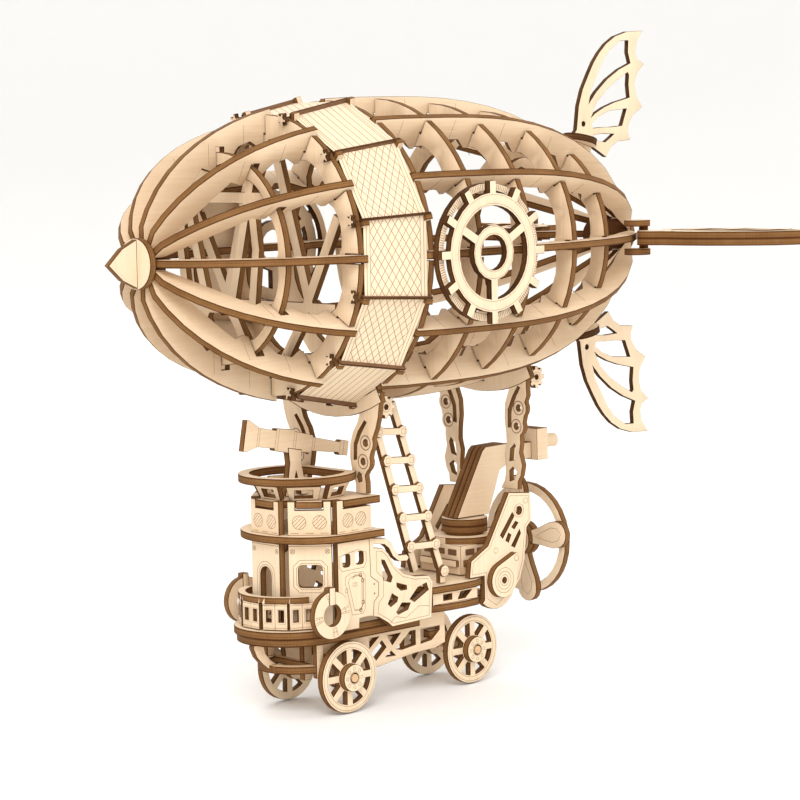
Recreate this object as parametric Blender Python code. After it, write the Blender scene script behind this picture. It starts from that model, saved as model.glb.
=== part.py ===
"""Toy airship of laser-cut plywood: an open rib-and-ring envelope over a wheeled gondola.

All lengths are millimetres until a mesh is written, which MM turns into metres.
X runs from the nose (-) to the tail (+), +Y is starboard, +Z is up and the wheels stand on z = 0.
"""
import math

import bmesh
import bpy
from mathutils import Matrix, Vector

MM = 0.001

# Driving sizes
AXIS_Z = 110.77
PLY = 1.8
GAP = 0.3
LAP = 0.1
FLAT = math.radians(0.2)
SLIVER = 0.002
FULL_RADIUS = 37.5
RIB_COUNT = 12
RIB_DEPTH = 6.2
RIB_DEPTH_AT_RING = 8.6
RIB_NOSE_X = -80.0
RIB_TAIL_X = 78.8
HUB_RADIUS = 4.0
BAND_FRONT = (-41.2, 34.16)
BAND_AFT = (-24.5, 37.57)
BAND_THICKNESS = 1.5

# Each ring: its plane, how far its rim and its half-lap slots stay inside the ribs' outer edge,
# and how wide its rim is midway between two ribs
RINGS = [(-57.0, 5.2, 4.0, 2.4), (-42.4, 1.2, 5.6, 5.2), (-23.3, 0.5, 4.0, 5.2), (-7.4, 0.5, 4.0, 5.2),
         (10.6, 1.6, 4.0, 5.2), (28.3, 1.8, 4.0, 5.2), (47.5, 3.5, 4.0, 4.6)]
ARCH_STEPS = 3
ARCH_LEAN = 0.35
FRONT_HANGER_RING = 2
REAR_HANGER_RING = 5

FRONT_AXLE_X = -30.2
REAR_AXLE_X = 14.0
WHEEL_RADIUS = 8.69
FRONT_WHEEL_FACE = 12.2
REAR_WHEEL_FACE = 9.0
AXLE_RADIUS = 1.0
HUB_CAP = 3.3
HUB_CAP_THICKNESS = 1.8

DECK_BOTTOM = 18.0
DECK_TOP = 21.7
DECK_HALF_WIDTH = 12.9
SIDE_Y = 14.1
STERN_Y = 12.0
BELT_BOTTOM = 42.4
BELT_TOP = 44.2
NEST_FLOOR = 50.5
NEST_FLOOR_TOP = 52.3
NEST_RING = 56.2
NEST_RING_TOP = 58.1
NEST_BACK = -24.8
STERN_DECK_TOP = 27.2
SHAFT_X = 41.7
SHAFT_Z = 32.9

WOOD = (0.80, 0.60, 0.38, 1.0)
PALE_WOOD = (0.88, 0.72, 0.50, 1.0)
DARK_WOOD = (0.45, 0.27, 0.13, 1.0)


def wood(name, colour):
    """A plain plywood colour for one sub-part."""
    material = bpy.data.materials.new(name)
    material.use_nodes = True
    shader = material.node_tree.nodes["Principled BSDF"]
    shader.inputs["Base Color"].default_value = colour
    shader.inputs["Roughness"].default_value = 0.7
    shader.inputs["Metallic"].default_value = 0.0
    return material


def on_side(y):
    """A plate in the length and height directions: u along X, v along Z."""
    return Matrix(((1, 0, 0, 0), (0, 0, -1, y), (0, 1, 0, 0), (0, 0, 0, 1)))


def across(x, z=0.0):
    """A plate across the hull: u along Y, v along Z."""
    return Matrix(((0, 0, 1, x), (1, 0, 0, 0), (0, 1, 0, z), (0, 0, 0, 1)))


def lying(z):
    """A level plate: u along X, v along Y."""
    return Matrix.Translation((0, 0, z))


def radial(degrees):
    """A plate through the envelope's axis: u along X, v away from the axis, 0 degrees at port."""
    turn = math.radians(degrees)
    out_y = -math.cos(turn)
    out_z = math.sin(turn)
    return Matrix(((1, 0, 0, 0), (0, out_y, -out_z, 0), (0, out_z, out_y, AXIS_Z), (0, 0, 0, 1)))


def facing(centre_x, distance, degrees, z):
    """An upright plate around a vertical line, 0 degrees ahead and positive to port."""
    turn = math.radians(degrees)
    out = Vector((-math.cos(turn), -math.sin(turn), 0))
    along = Vector((0, 0, 1)).cross(out)
    spot = Vector((centre_x, 0, z)) + out * distance
    return Matrix(((along.x, 0, out.x, spot.x), (along.y, 0, out.y, spot.y),
                   (0, 1, 0, spot.z), (0, 0, 0, 1)))


def circle(radius, steps, centre=(0.0, 0.0)):
    return [(centre[0] + radius * math.cos(2 * math.pi * k / steps),
             centre[1] + radius * math.sin(2 * math.pi * k / steps)) for k in range(steps)]


def arc(centre, radius, start, end, steps):
    """Points on an arc, angles in degrees, both ends included."""
    angles = [math.radians(start + (end - start) * k / steps) for k in range(steps + 1)]
    return [(centre[0] + radius * math.cos(a), centre[1] + radius * math.sin(a)) for a in angles]


def box_outline(u0, v0, u1, v1):
    return [(u0, v0), (u1, v0), (u1, v1), (u0, v1)]


def rounded(u0, v0, u1, v1, radius):
    """A rectangle with rounded corners."""
    points = []
    for cu, cv, start in ((u1 - radius, v1 - radius, 0), (u0 + radius, v1 - radius, 90),
                          (u0 + radius, v0 + radius, 180), (u1 - radius, v0 + radius, 270)):
        points += arc((cu, cv), radius, start, start + 90, 3)
    return points


def strip(start, end, width):
    """A straight bar between two points."""
    du = end[0] - start[0]
    dv = end[1] - start[1]
    length = math.hypot(du, dv)
    nu = -dv / length * width / 2
    nv = du / length * width / 2
    return [(start[0] + nu, start[1] + nv), (start[0] - nu, start[1] - nv),
            (end[0] - nu, end[1] - nv), (end[0] + nu, end[1] + nv)]


def spoke_gaps(count, inner, outer, width, phase=0.0):
    """The openings between equal spokes, from a hub's radius out to a rim's."""
    gaps = []
    outer_steps = round(32 / count)
    for number in range(count):
        first = phase + 360 / count * number
        last = first + 360 / count
        clear_out = math.degrees(math.asin(width / 2 / outer))
        clear_in = math.degrees(math.asin(width / 2 / inner))
        gaps.append(arc((0, 0), outer, first + clear_out, last - clear_out, outer_steps)
                    + arc((0, 0), inner, last - clear_in, first + clear_in, outer_steps // 2))
    return gaps


def handle_outline(count, rim, tip, width):
    """A rim with a straight handle at every spoke."""
    points = []
    for number in range(count):
        middle = 360 / count * number
        foot = math.degrees(math.asin(width / 2 / rim))
        end = math.degrees(math.asin(width / 2 / tip))
        points += arc((0, 0), tip, middle - end, middle + end, 1)
        points += arc((0, 0), rim, middle + foot, middle + 360 / count - foot, 2)
    return points


def new_object(name, mesh, colour):
    thing = bpy.data.objects.new(name, mesh)
    bpy.context.scene.collection.objects.link(thing)
    mesh.materials.append(wood(name, colour))
    return thing


def finish_mesh(name, bm, place, origin, colour):
    """Write a bmesh in metres about its origin and return the placed object."""
    bmesh.ops.transform(bm, matrix=Matrix.Translation(-Vector(origin)) @ place, verts=bm.verts)
    bmesh.ops.scale(bm, vec=(MM, MM, MM), verts=bm.verts)
    bmesh.ops.recalc_face_normals(bm, faces=bm.faces)
    mesh = bpy.data.meshes.new(name)
    bm.to_mesh(mesh)
    bm.free()
    thing = new_object(name, mesh, colour)
    thing.location = Vector(origin) * MM
    return thing


def plate(name, outline, place, holes=(), thickness=PLY, origin=(0, 0, 0), colour=WOOD):
    """A sheet cut to an outline with holes, its mid-plane on the placed plane."""
    bm = bmesh.new()
    edges = []
    for loop in [outline, *holes]:
        corners = [bm.verts.new((u, v, -thickness / 2)) for u, v in loop]
        for k, corner in enumerate(corners):
            edges.append(bm.edges.new((corner, corners[(k + 1) % len(corners)])))
    bmesh.ops.triangle_fill(bm, use_beauty=True, use_dissolve=False, edges=edges)
    grown = bmesh.ops.extrude_face_region(bm, geom=bm.faces[:])
    raised = [item for item in grown["geom"] if isinstance(item, bmesh.types.BMVert)]
    bmesh.ops.translate(bm, vec=(0, 0, thickness), verts=raised)
    return finish_mesh(name, bm, place, origin, colour)


def cylinder(name, radius, start, end, steps=20, origin=(0, 0, 0), colour=WOOD):
    """A round bar from one point to another."""
    axis = Vector(end) - Vector(start)
    turn = axis.to_track_quat("Z", "X").to_matrix().to_4x4()
    place = Matrix.Translation((Vector(start) + Vector(end)) / 2) @ turn
    bm = bmesh.new()
    bmesh.ops.create_cone(bm, cap_ends=True, segments=steps, radius1=radius, radius2=radius,
                          depth=axis.length)
    return finish_mesh(name, bm, place, origin, colour)


def combine(target, tools, operation="UNION"):
    """Join or cut solids and keep the result as the target's own mesh."""
    for tool in tools:
        step = target.modifiers.new(tool.name, "BOOLEAN")
        step.operation = operation
        step.solver = "EXACT"
        step.object = tool
    graph = bpy.context.evaluated_depsgraph_get()
    mesh = bpy.data.meshes.new_from_object(target.evaluated_get(graph))
    target.modifiers.clear()
    bm = bmesh.new()
    bm.from_mesh(mesh)
    bmesh.ops.dissolve_degenerate(bm, dist=SLIVER * MM, edges=bm.edges)
    bmesh.ops.dissolve_limit(bm, angle_limit=FLAT, verts=bm.verts, edges=bm.edges)
    bmesh.ops.triangulate(bm, faces=bm.faces)
    bm.to_mesh(mesh)
    bm.free()
    target.data = mesh
    for tool in tools:
        bpy.data.objects.remove(tool)
    mesh.materials.clear()
    mesh.materials.append(bpy.data.materials[target.name])
    return target


def rib_radius(x):
    """Outer radius of the envelope at a place along its length."""
    if x < -10.0:
        reach = (-10.0 - x) / 71.5
        return FULL_RADIUS * math.sqrt(1 - reach ** 2.5)
    if x > -4.0:
        reach = (x + 4.0) / 85.5
        return FULL_RADIUS * (1 - reach ** 2.6) ** 0.75
    return FULL_RADIUS


def make_ribs():
    """Twelve equal ribs, cut away outside for the band and slotted inside for every ring."""
    outer = []
    for step in range(10):
        x = RIB_NOSE_X + (BAND_FRONT[0] - GAP - RIB_NOSE_X) * (step / 9) ** 1.4
        outer.append((x, rib_radius(x)))
    flat = math.cos(math.pi / RIB_COUNT)
    under = BAND_THICKNESS + GAP
    outer.append((BAND_FRONT[0] - GAP, BAND_FRONT[1] * flat - under))
    outer.append((BAND_AFT[0] + GAP, BAND_AFT[1] * flat - under))
    for step in range(14):
        x = BAND_AFT[0] + GAP + (RIB_TAIL_X - BAND_AFT[0] - GAP) * step / 13
        outer.append((x, rib_radius(x)))
    inner = [(RIB_NOSE_X, HUB_RADIUS + GAP), (RIB_NOSE_X + 3.0, HUB_RADIUS + GAP)]
    half = PLY / 2 + GAP
    for x, _, lap, _ in RINGS:
        slot_top = rib_radius(x) - lap
        inner.append((x - 5.5, rib_radius(x - 5.5) - RIB_DEPTH))
        for away in (-2.6, -half):
            inner.append((x + away, rib_radius(x + away) - RIB_DEPTH_AT_RING))
        inner += [(x - half, slot_top), (x + half, slot_top)]
        for away in (half, 2.6):
            inner.append((x + away, rib_radius(x + away) - RIB_DEPTH_AT_RING))
        inner.append((x + 5.5, rib_radius(x + 5.5) - RIB_DEPTH))
    for x in (60.0, 68.0, RIB_TAIL_X):
        inner.append((x, max(HUB_RADIUS + GAP, rib_radius(x) - RIB_DEPTH)))
    outline = outer + inner[::-1]
    for number in range(RIB_COUNT):
        degrees = number * 360 / RIB_COUNT
        plate(f"rib_{number:02d}", outline, radial(degrees))


def slot_floor(x, lap):
    """How far from the axis a ring's slots reach, a gap short of the ribs' own slots."""
    return rib_radius(x) - lap - GAP


def ring_outline(x, inset, lap):
    """The rim of one ring, with a slot for every rib where the rim stands outside the lap."""
    radius = rib_radius(x) - inset
    floor = slot_floor(x, lap)
    if floor >= radius:
        return circle(radius, 5 * RIB_COUNT)
    half = PLY / 2 + GAP
    points = []
    for number in range(RIB_COUNT):
        middle = 2 * math.pi * number / RIB_COUNT
        for side, depth in ((-1, radius), (-1, floor), (1, floor), (1, radius)):
            along = math.sqrt(depth ** 2 - half ** 2)
            points.append((along * math.cos(middle) - side * half * math.sin(middle),
                           along * math.sin(middle) + side * half * math.cos(middle)))
        edge = math.asin(half / radius)
        span = 2 * math.pi / RIB_COUNT - 2 * edge
        for step in range(1, 4):
            turn = middle + edge + span * step / 4
            points.append((radius * math.cos(turn), radius * math.sin(turn)))
    return points


def ring_opening(x, inset, web):
    """The inside edge of a ring: a pointed arch between every two ribs."""
    between = rib_radius(x) - inset - web
    at_rib = min(rib_radius(x) - RIB_DEPTH_AT_RING, between - 1.0)
    tall = math.sqrt(1 - (ARCH_LEAN / (1 + ARCH_LEAN)) ** 2)
    points = []
    for step in range(2 * ARCH_STEPS * RIB_COUNT):
        part = abs(step % (2 * ARCH_STEPS) - ARCH_STEPS) / ARCH_STEPS
        rise = math.sqrt(1 - ((part + ARCH_LEAN) / (1 + ARCH_LEAN)) ** 2) / tall
        reach = at_rib + (between - at_rib) * rise
        turn = 2 * math.pi * step / (2 * ARCH_STEPS * RIB_COUNT)
        points.append((reach * math.cos(turn), reach * math.sin(turn)))
    return points


def make_ring(number):
    x, inset, lap, web = RINGS[number]
    return plate(f"ring_{number + 1}", ring_outline(x, inset, lap), across(x, AXIS_Z),
                 holes=[ring_opening(x, inset, web)])


def add_lattice(ring, x, bars, width):
    """Join straight bars across a ring's opening, each given by two points about the axis."""
    tools = []
    for number, (start, end) in enumerate(bars):
        tools.append(plate(f"bar_{number}", strip(start, end, width), across(x, AXIS_Z),
                           thickness=PLY - 2 * LAP))
    combine(ring, tools)


def hanger_leg(side, points, eyelets, slots):
    """One leg of a hanger plate: its outline, with round eyelets and slots cut in it."""
    outline = [(side * y, z) for y, z in points]
    holes = [circle(0.9, 12, (side * y, z)) for y, z in eyelets]
    holes += [[(side * y, z) for y, z in slot] for slot in slots]
    return outline, holes


def make_rings():
    rings = [make_ring(number) for number in range(len(RINGS))]
    add_lattice(rings[0], RINGS[0][0],
                [((-18.2, 14.4), (18.2, 14.4)), ((-20.0, -11.5), (20.0, -11.5)),
                 ((-12.9, 19.0), (-4.4, -11.5)), ((12.9, 19.0), (4.4, -11.5)),
                 ((-4.0, -11.0), (-9.8, -20.6)), ((4.0, -11.0), (9.8, -20.6)),
                 ((-12.6, 14.4), (-14.2, 1.8)), ((12.6, 14.4), (14.2, 1.8)),
                 ((-14.2, 3.0), (-12.2, -11.5)), ((14.2, 3.0), (12.2, -11.5))], 2.6)
    add_lattice(rings[1], RINGS[1][0],
                [((-3.3, 27.6), (-15.8, -12.0)), ((3.3, 27.6), (15.8, -12.0)),
                 ((-26.2, 9.6), (-14.4, -11.6)), ((26.2, 9.6), (14.4, -11.6)),
                 ((-15.2, -12.0), (-4.1, -26.9)), ((15.2, -12.0), (4.1, -26.9)),
                 ((-24.9, -12.1), (24.9, -12.1))], 2.8)
    make_hanger(rings[FRONT_HANGER_RING], RINGS[FRONT_HANGER_RING],
                FRONT_LEG, FRONT_EYELETS, FRONT_SLOTS)
    make_hanger(rings[REAR_HANGER_RING], RINGS[REAR_HANGER_RING],
                REAR_LEG, REAR_EYELETS, REAR_SLOTS)


# Leg outlines seen from ahead, as distance from the middle and height over the floor
FRONT_EYELETS = [(12.9, 65.0), (11.9, 60.4)]
FRONT_LEG = [(10.8, 75.2), (18.5, 77.6), (17.6, 71.6), (16.6, 68.6), *arc(FRONT_EYELETS[0], 2.7, 25, -45, 4),
             *arc(FRONT_EYELETS[1], 2.6, 25, -60, 4), (12.4, 57.0), (12.8, 55.2), (12.8, 52.6),
             (9.0, 52.6), (9.0, 54.8), (7.6, 58.4), (7.1, 61.0), (7.2, 64.4), (8.2, 67.2), (10.0, 69.8),
             (10.8, 72.0)]
FRONT_SLOTS = [[(8.5, 60.6), (8.7, 64.6), (10.2, 67.6), (12.6, 70.4), (13.4, 70.0), (11.2, 67.0),
                (9.8, 64.2), (9.6, 60.8)],
               [(9.6, 56.6), (10.2, 57.8), (11.4, 57.2), (11.4, 55.6), (10.2, 55.2)]]
REAR_EYELETS = [(13.4, 69.0), (12.5, 64.3)]
REAR_LEG = [(10.6, 78.6), (16.8, 80.8), (16.2, 75.2), (16.4, 72.4), *arc(REAR_EYELETS[0], 2.7, 35, -45, 4),
            *arc(REAR_EYELETS[1], 2.6, 25, -60, 4), (13.9, 60.3), (13.4, 57.6), (14.4, 54.4),
            (13.8, 51.8), (12.8, 50.2), (12.6, 48.1), (6.6, 48.1), (7.8, 50.0), (8.4, 52.0), (8.3, 54.4),
            (8.0, 56.8), (8.8, 59.6), (8.7, 62.2), (8.2, 66.0), (8.4, 69.8), (9.8, 73.2), (10.6, 76.0)]
REAR_SLOTS = [[(9.5, 63.8), (9.6, 68.4), (11.2, 71.8), (13.2, 74.6), (14.0, 74.2), (12.2, 71.2),
               (10.8, 68.0), (10.6, 64.0)],
              [(9.8, 55.2), (10.2, 58.4), (11.8, 59.8), (12.4, 58.6), (11.6, 55.6)],
              [(9.8, 50.0), (9.8, 52.8), (11.0, 53.8), (12.4, 52.8), (11.6, 50.6)]]


def make_hanger(ring, sizes, leg, eyelets, slots):
    """The lower half of this ring's sheet runs on as a crescent and two shaped legs."""
    x, _, lap, _ = sizes
    radius = rib_radius(x)
    crescent = arc((0, AXIS_Z), radius + 3.0, 242, 298, 9) + arc((0, AXIS_Z), radius - 3.6, 298, 242, 9)
    tools = [plate("crescent", crescent, across(x), thickness=PLY - LAP)]
    for side in (-1, 1):
        outline, holes = hanger_leg(side, leg, eyelets, slots)
        tools.append(plate(f"leg_{side}", outline, across(x), holes=holes, thickness=PLY - 2 * LAP))
    combine(ring, tools)
    half = PLY / 2 + GAP
    cutters = []
    for degrees in (-60, -90, -120):
        slot = box_outline(slot_floor(x, lap), -half, radius + GAP, half)
        turn = Matrix.Translation((x, 0, AXIS_Z)) @ Matrix.Rotation(math.radians(degrees), 4, "X")
        cutters.append(plate(f"slot_{degrees}", slot, turn @ across(0), thickness=4 * PLY))
    combine(ring, cutters, "DIFFERENCE")


def make_band():
    """Twelve flat panels around the ribs, made as one tube with twelve sides."""
    bm = bmesh.new()
    loops = []
    inward = BAND_THICKNESS / math.cos(math.pi / RIB_COUNT)
    for (x, radius), inset in ((BAND_FRONT, 0.0), (BAND_AFT, 0.0), (BAND_AFT, inward),
                               (BAND_FRONT, inward)):
        loop = []
        for number in range(RIB_COUNT):
            turn = math.radians(15 + 30 * number)
            reach = radius - inset
            loop.append(bm.verts.new((x, -reach * math.cos(turn), AXIS_Z + reach * math.sin(turn))))
        loops.append(loop)
    for first, second in zip(loops, loops[1:] + loops[:1]):
        for k in range(RIB_COUNT):
            after = (k + 1) % RIB_COUNT
            bm.faces.new((first[k], first[after], second[after], second[k]))
    finish_mesh("band", bm, Matrix.Identity(4), (0, 0, 0), PALE_WOOD)


def make_caps():
    """The nose disc with its upright fin, and the tail disc, each with a hub between the ribs."""
    nose = cylinder("nose_cap", 5.94, (-82.1, 0, AXIS_Z), (-80.3, 0, AXIS_Z), 32)
    hub = cylinder("hub", HUB_RADIUS, (-80.4, 0, AXIS_Z), (-76.0, 0, AXIS_Z), 24)
    fin = plate("fin", [(-90.0, 0.0), (-86.2, 3.6), (-82.0, 5.6), (-82.0, -5.6), (-86.2, -3.6)],
                on_side(0) @ Matrix.Translation((0, AXIS_Z, 0)))
    combine(nose, [hub, fin])
    tail = cylinder("tail_cap", 5.2, (79.1, 0, AXIS_Z), (80.7, 0, AXIS_Z), 32)
    combine(tail, [cylinder("hub", HUB_RADIUS, (70.0, 0, AXIS_Z), (79.2, 0, AXIS_Z), 24)])


# One tail wing: distance along X and distance from the axis
WING_OUTLINE = [(61.2, 23.1), (62.0, 26.5), (63.5, 28.1), (64.4, 34.3), (66.0, 38.7), (68.2, 42.4),
                (70.3, 45.7), (72.5, 48.3), (75.2, 50.7), (78.7, 52.7), (83.4, 54.0), (89.6, 54.24),
                (87.3, 51.3), (86.8, 48.4), (87.4, 46.6), (90.0, 45.3), (87.3, 43.0), (86.3, 39.9),
                (86.9, 36.8), (89.1, 33.8), (85.5, 31.7), (83.6, 29.1), (83.4, 27.0), (84.3, 25.1),
                (79.3, 24.7), (76.6, 23.2), (74.7, 20.6), (69.2, 23.6), (68.5, 21.5), (68.5, 17.6)]
WING_OPENINGS = [
    [(80.6, 51.5), (83.9, 51.6), (83.7, 48.4), (84.6, 45.6), (80.1, 43.9), (75.4, 41.3),
     (71.1, 37.9), (68.3, 34.9), (69.2, 38.2), (71.6, 42.3), (74.0, 46.2), (76.5, 48.9)],
    [(83.5, 43.1), (84.0, 42.4), (83.7, 39.9), (84.1, 36.4), (78.3, 35.2), (74.1, 33.9),
     (70.6, 32.3), (69.2, 31.3), (71.5, 35.3), (75.3, 38.6), (80.0, 41.4)],
    [(82.9, 33.4), (81.0, 28.9), (76.7, 28.6), (73.2, 28.6), (69.7, 28.4), (69.5, 29.8),
     (72.1, 31.5), (76.0, 32.9)],
    [(69.8, 26.6), (73.2, 26.9), (77.8, 26.7), (76.4, 25.8), (74.3, 24.6), (71.4, 25.1)],
]
SIDE_WING_REACH = 62.5
SIDE_WING_THICKNESS = 3.6
UPRIGHT_WING_THICKNESS = 1.4
WING_ROOT = 20.0


def make_wing(name, degrees, stretch, thickness, upright):
    """A bat-wing plate on a neck: an upright wing has a round collar, a level one two flat discs."""
    def reach(points):
        return [(x, r if r < WING_ROOT else WING_ROOT + (r - WING_ROOT) * stretch) for x, r in points]
    outline = reach(WING_OUTLINE)
    holes = [reach(points) for points in WING_OPENINGS]
    holes.append(circle(0.7, 10, reach([(66.1, 29.6)])[0]))
    wing = plate(name, outline, radial(degrees), holes=holes, thickness=thickness, colour=PALE_WOOD)
    if not upright:
        discs = []
        for side in (-1, 1):
            post = plate("post", circle(1.2, 12, (66.6, 21.2)), radial(degrees) @ Matrix.Translation(
                (0, 0, side * (thickness / 2 + 0.6))), thickness=1.4)
            discs.append(post)
            discs.append(plate("disc", circle(3.4, 20, (65.0, 20.4)), radial(degrees) @ Matrix.Translation(
                (0, 0, side * (thickness / 2 + 1.9))), thickness=1.6))
        combine(wing, discs)
        return
    tilt = radial(degrees) @ Matrix.Translation((65.3, reach([(0, 25.4)])[0][1], 0))
    tilt = tilt @ Matrix.Rotation(math.radians(-15), 4, "Z")
    start = tilt @ Vector((0, -PLY / 2, 0))
    end = tilt @ Vector((0, PLY / 2, 0))
    combine(wing, [cylinder("collar", 4.6, start, end, 20)])


def make_wings():
    side_stretch = (SIDE_WING_REACH - WING_ROOT) / (54.24 - WING_ROOT)
    make_wing("wing_top", 90, 1.0, UPRIGHT_WING_THICKNESS, True)
    make_wing("wing_bottom", -90, 1.0, UPRIGHT_WING_THICKNESS, True)
    make_wing("wing_port", 0, side_stretch, SIDE_WING_THICKNESS, False)
    make_wing("wing_starboard", 180, side_stretch, SIDE_WING_THICKNESS, False)


def make_medallion(name, side):
    """A thin backing ring with a ship's wheel in front of it, on the side of ring 4."""
    back_y = side * (FULL_RADIUS + GAP + PLY / 2)
    shift = Matrix.Translation((RINGS[3][0], AXIS_Z, 0))
    back = plate(name, circle(16.5, 36), on_side(back_y) @ shift, holes=[circle(14.7, 36)],
                 colour=PALE_WOOD)
    gaps = spoke_gaps(3, 6.6, 11.1, 2.2, 30)
    helm = plate("helm", handle_outline(12, 14.2, 17.0, 2.0),
                 on_side(back_y + side * (PLY - LAP)) @ shift, holes=[*gaps, circle(4.2, 20)])
    combine(back, [helm])


def make_cog(name, x, y, z, tab_start):
    """A small toothed disc on a tab that runs back from a hanger."""
    points = []
    for tooth in range(8):
        for turn, radius in ((-0.28, 2.15), (-0.18, 2.85), (0.18, 2.85), (0.28, 2.15)):
            angle = 2 * math.pi * tooth / 8 + turn
            points.append((x + radius * math.cos(angle), z + radius * math.sin(angle)))
    cog = plate(name, points, on_side(y), holes=[circle(0.7, 8, (x, z))], colour=PALE_WOOD)
    tab = plate("tab", box_outline(tab_start, z - 1.0, x - 1.4, z + 1.0), on_side(y),
                thickness=PLY - 2 * LAP)
    combine(cog, [tab])


def make_cogs():
    behind = PLY / 2 + GAP
    for label, side in (("port", -1), ("starboard", 1)):
        make_cog(f"cog_front_{label}", -19.1, side * 14.2, 73.4, RINGS[FRONT_HANGER_RING][0] + behind)
        make_cog(f"cog_rear_{label}", 34.7, side * 12.0, 76.3, RINGS[REAR_HANGER_RING][0] + behind)


def belt_outline(grow):
    """The gondola's rounded front: a half oval, then straight sides to the hanger."""
    front = []
    for step in range(21):
        turn = math.radians(-90 + 180 * step / 20)
        front.append((-34.0 - (12.5 + grow) * math.cos(turn), (15.0 + grow) * math.sin(turn)))
    return [(-21.5, -15.0 - grow), *front, (-21.5, 15.0 + grow)]


TOWER_X = -29.9
FRONT_PANEL = 14.7
DIAGONAL_PANEL = 13.9
PANEL_HALF_WIDTH = 5.2
SIDE_PANEL_X = -35.6
NEST_X = -33.6


def tower_panels():
    """Angle and distance of the front and diagonal tower panels."""
    return [(0, FRONT_PANEL), (45, DIAGONAL_PANEL), (-45, DIAGONAL_PANEL)]


def make_upper_tower():
    """The belt plate with notched panels standing on it."""
    belt = plate("tower_upper", belt_outline(1.3), lying((BELT_BOTTOM + BELT_TOP) / 2),
                 thickness=BELT_TOP - BELT_BOTTOM)
    height = NEST_FLOOR_TOP - BELT_TOP
    notch = NEST_FLOOR - GAP - BELT_TOP
    half = PANEL_HALF_WIDTH
    panels = []
    for degrees, distance in tower_panels():
        outline = [(-half, -LAP), (half, -LAP), (half, height), (half - 1.8, height),
                   (half - 1.8, notch), (1.8 - half, notch), (1.8 - half, height), (-half, height)]
        panels.append(plate("panel", outline, facing(TOWER_X, distance, degrees, BELT_TOP)))
    post = SIDE_PANEL_X + 2.0
    for side in (-1, 1):
        outline = [(SIDE_PANEL_X, BELT_TOP - LAP), (-24.6, BELT_TOP - LAP), (-24.6, BELT_TOP + notch),
                   (post, BELT_TOP + notch), (post, NEST_FLOOR_TOP), (SIDE_PANEL_X, NEST_FLOOR_TOP)]
        panels.append(plate("panel", outline, on_side(side * SIDE_Y)))
    combine(belt, panels)


def make_lower_tower():
    """Front panels from the deck to the belt: a doorway ahead, square windows on the diagonals."""
    bottom = DECK_TOP + GAP
    height = BELT_BOTTOM - GAP - bottom
    half = PANEL_HALF_WIDTH
    door = [(-2.1, 0.8), (2.1, 0.8), *arc((0, 12.2), 2.1, 0, 180, 6)]
    window = rounded(-2.9, 9.6, 2.9, 15.0, 1.0)
    tower = plate("tower_lower", box_outline(-half, 0, half, height),
                  facing(TOWER_X, FRONT_PANEL, 0, bottom), holes=[door], colour=PALE_WOOD)
    pieces = []
    for degrees in (45, -45):
        pieces.append(plate("panel", box_outline(-half, 0, half, height),
                            facing(TOWER_X, DIAGONAL_PANEL, degrees, bottom), holes=[window]))
    shelf = [(-44.6, 4.9), (-43.4, 6.1), (-36.6, 12.9), (-34.6, 10.9), (-41.2, 4.3)]
    shelf += [(x, -y) for x, y in shelf[::-1]]
    pieces.append(plate("shelf", shelf, lying(bottom + 0.8), thickness=1.4))
    combine(tower, pieces)


def make_nest():
    """The look-out: a floor over the tower, slanted window panels and a broad top ring."""
    floor = [(-21.6, 15.0), (-33.2, 15.0), (-33.2, 12.6), (-35.2, 12.2), (-36.4, 11.3), (-43.3, 4.4)]
    floor += [(x, -y) for x, y in floor[::-1]]
    nest = plate("crows_nest", floor, lying((NEST_FLOOR + NEST_FLOOR_TOP) / 2),
                 thickness=NEST_FLOOR_TOP - NEST_FLOOR)
    pieces = []
    for degrees, distance in tower_panels():
        turn = math.radians(degrees)
        half = PANEL_HALF_WIDTH - 1.8 - GAP
        tab = box_outline(distance - 2.4, -half, distance + 1.1, half)
        tab = [(TOWER_X - u * math.cos(turn) - v * math.sin(turn), v * math.cos(turn) - u * math.sin(turn))
               for u, v in tab]
        pieces.append(plate("tab", tab, lying((NEST_FLOOR + NEST_FLOOR_TOP) / 2),
                            thickness=NEST_FLOOR_TOP - NEST_FLOOR - LAP))
    centre = (-35.0, 0.0)
    outer_reach = math.degrees(math.acos((NEST_BACK - centre[0]) / 14.3))
    inner_reach = math.degrees(math.acos((NEST_BACK - 2.6 - centre[0]) / 11.6))
    outline = arc(centre, 14.3, outer_reach, 360 - outer_reach, 30)
    hole = arc(centre, 11.6, inner_reach, 360 - inner_reach, 24)
    pieces.append(plate("top", outline, lying((NEST_RING + NEST_RING_TOP) / 2), holes=[hole],
                        thickness=NEST_RING_TOP - NEST_RING))
    height = NEST_RING - NEST_FLOOR_TOP + 2 * LAP
    for degrees in (0, 52, -52, 104, -104):
        outline = [(-3.4, 0), (3.4, 0), (4.2, height), (-4.2, height)]
        window = box_outline(-2.2, 1.0, 2.2, height - 0.9)
        lean = Matrix.Rotation(math.radians(24), 4, "X")
        place = facing(NEST_X, 9.0, degrees, NEST_FLOOR_TOP - LAP) @ lean
        pieces.append(plate("panel", outline, place, holes=[window], thickness=1.4))
    combine(nest, pieces)


RAIL_X = -38.3


def make_balcony():
    """A horseshoe rail on five window panels, around the front of the tower."""
    outline = arc((RAIL_X, 0), 12.5, 108, 252, 20) + arc((RAIL_X, 0), 10.6, 252, 108, 18)
    rail = plate("balcony_rail", outline, lying(29.05), thickness=1.5)
    height = 28.3 - DECK_TOP - GAP + LAP
    pieces = []
    for degrees in (0, 33, -33, 64, -64):
        windows = [box_outline(-2.2, 1.9, -0.9, height - 1.6), box_outline(0.9, 1.9, 2.2, height - 1.6)]
        pieces.append(plate("panel", box_outline(-3.1, 0, 3.1, height),
                            facing(RAIL_X, 11.5, degrees, DECK_TOP + GAP), holes=windows,
                            thickness=1.3))
    combine(rail, pieces)


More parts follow.
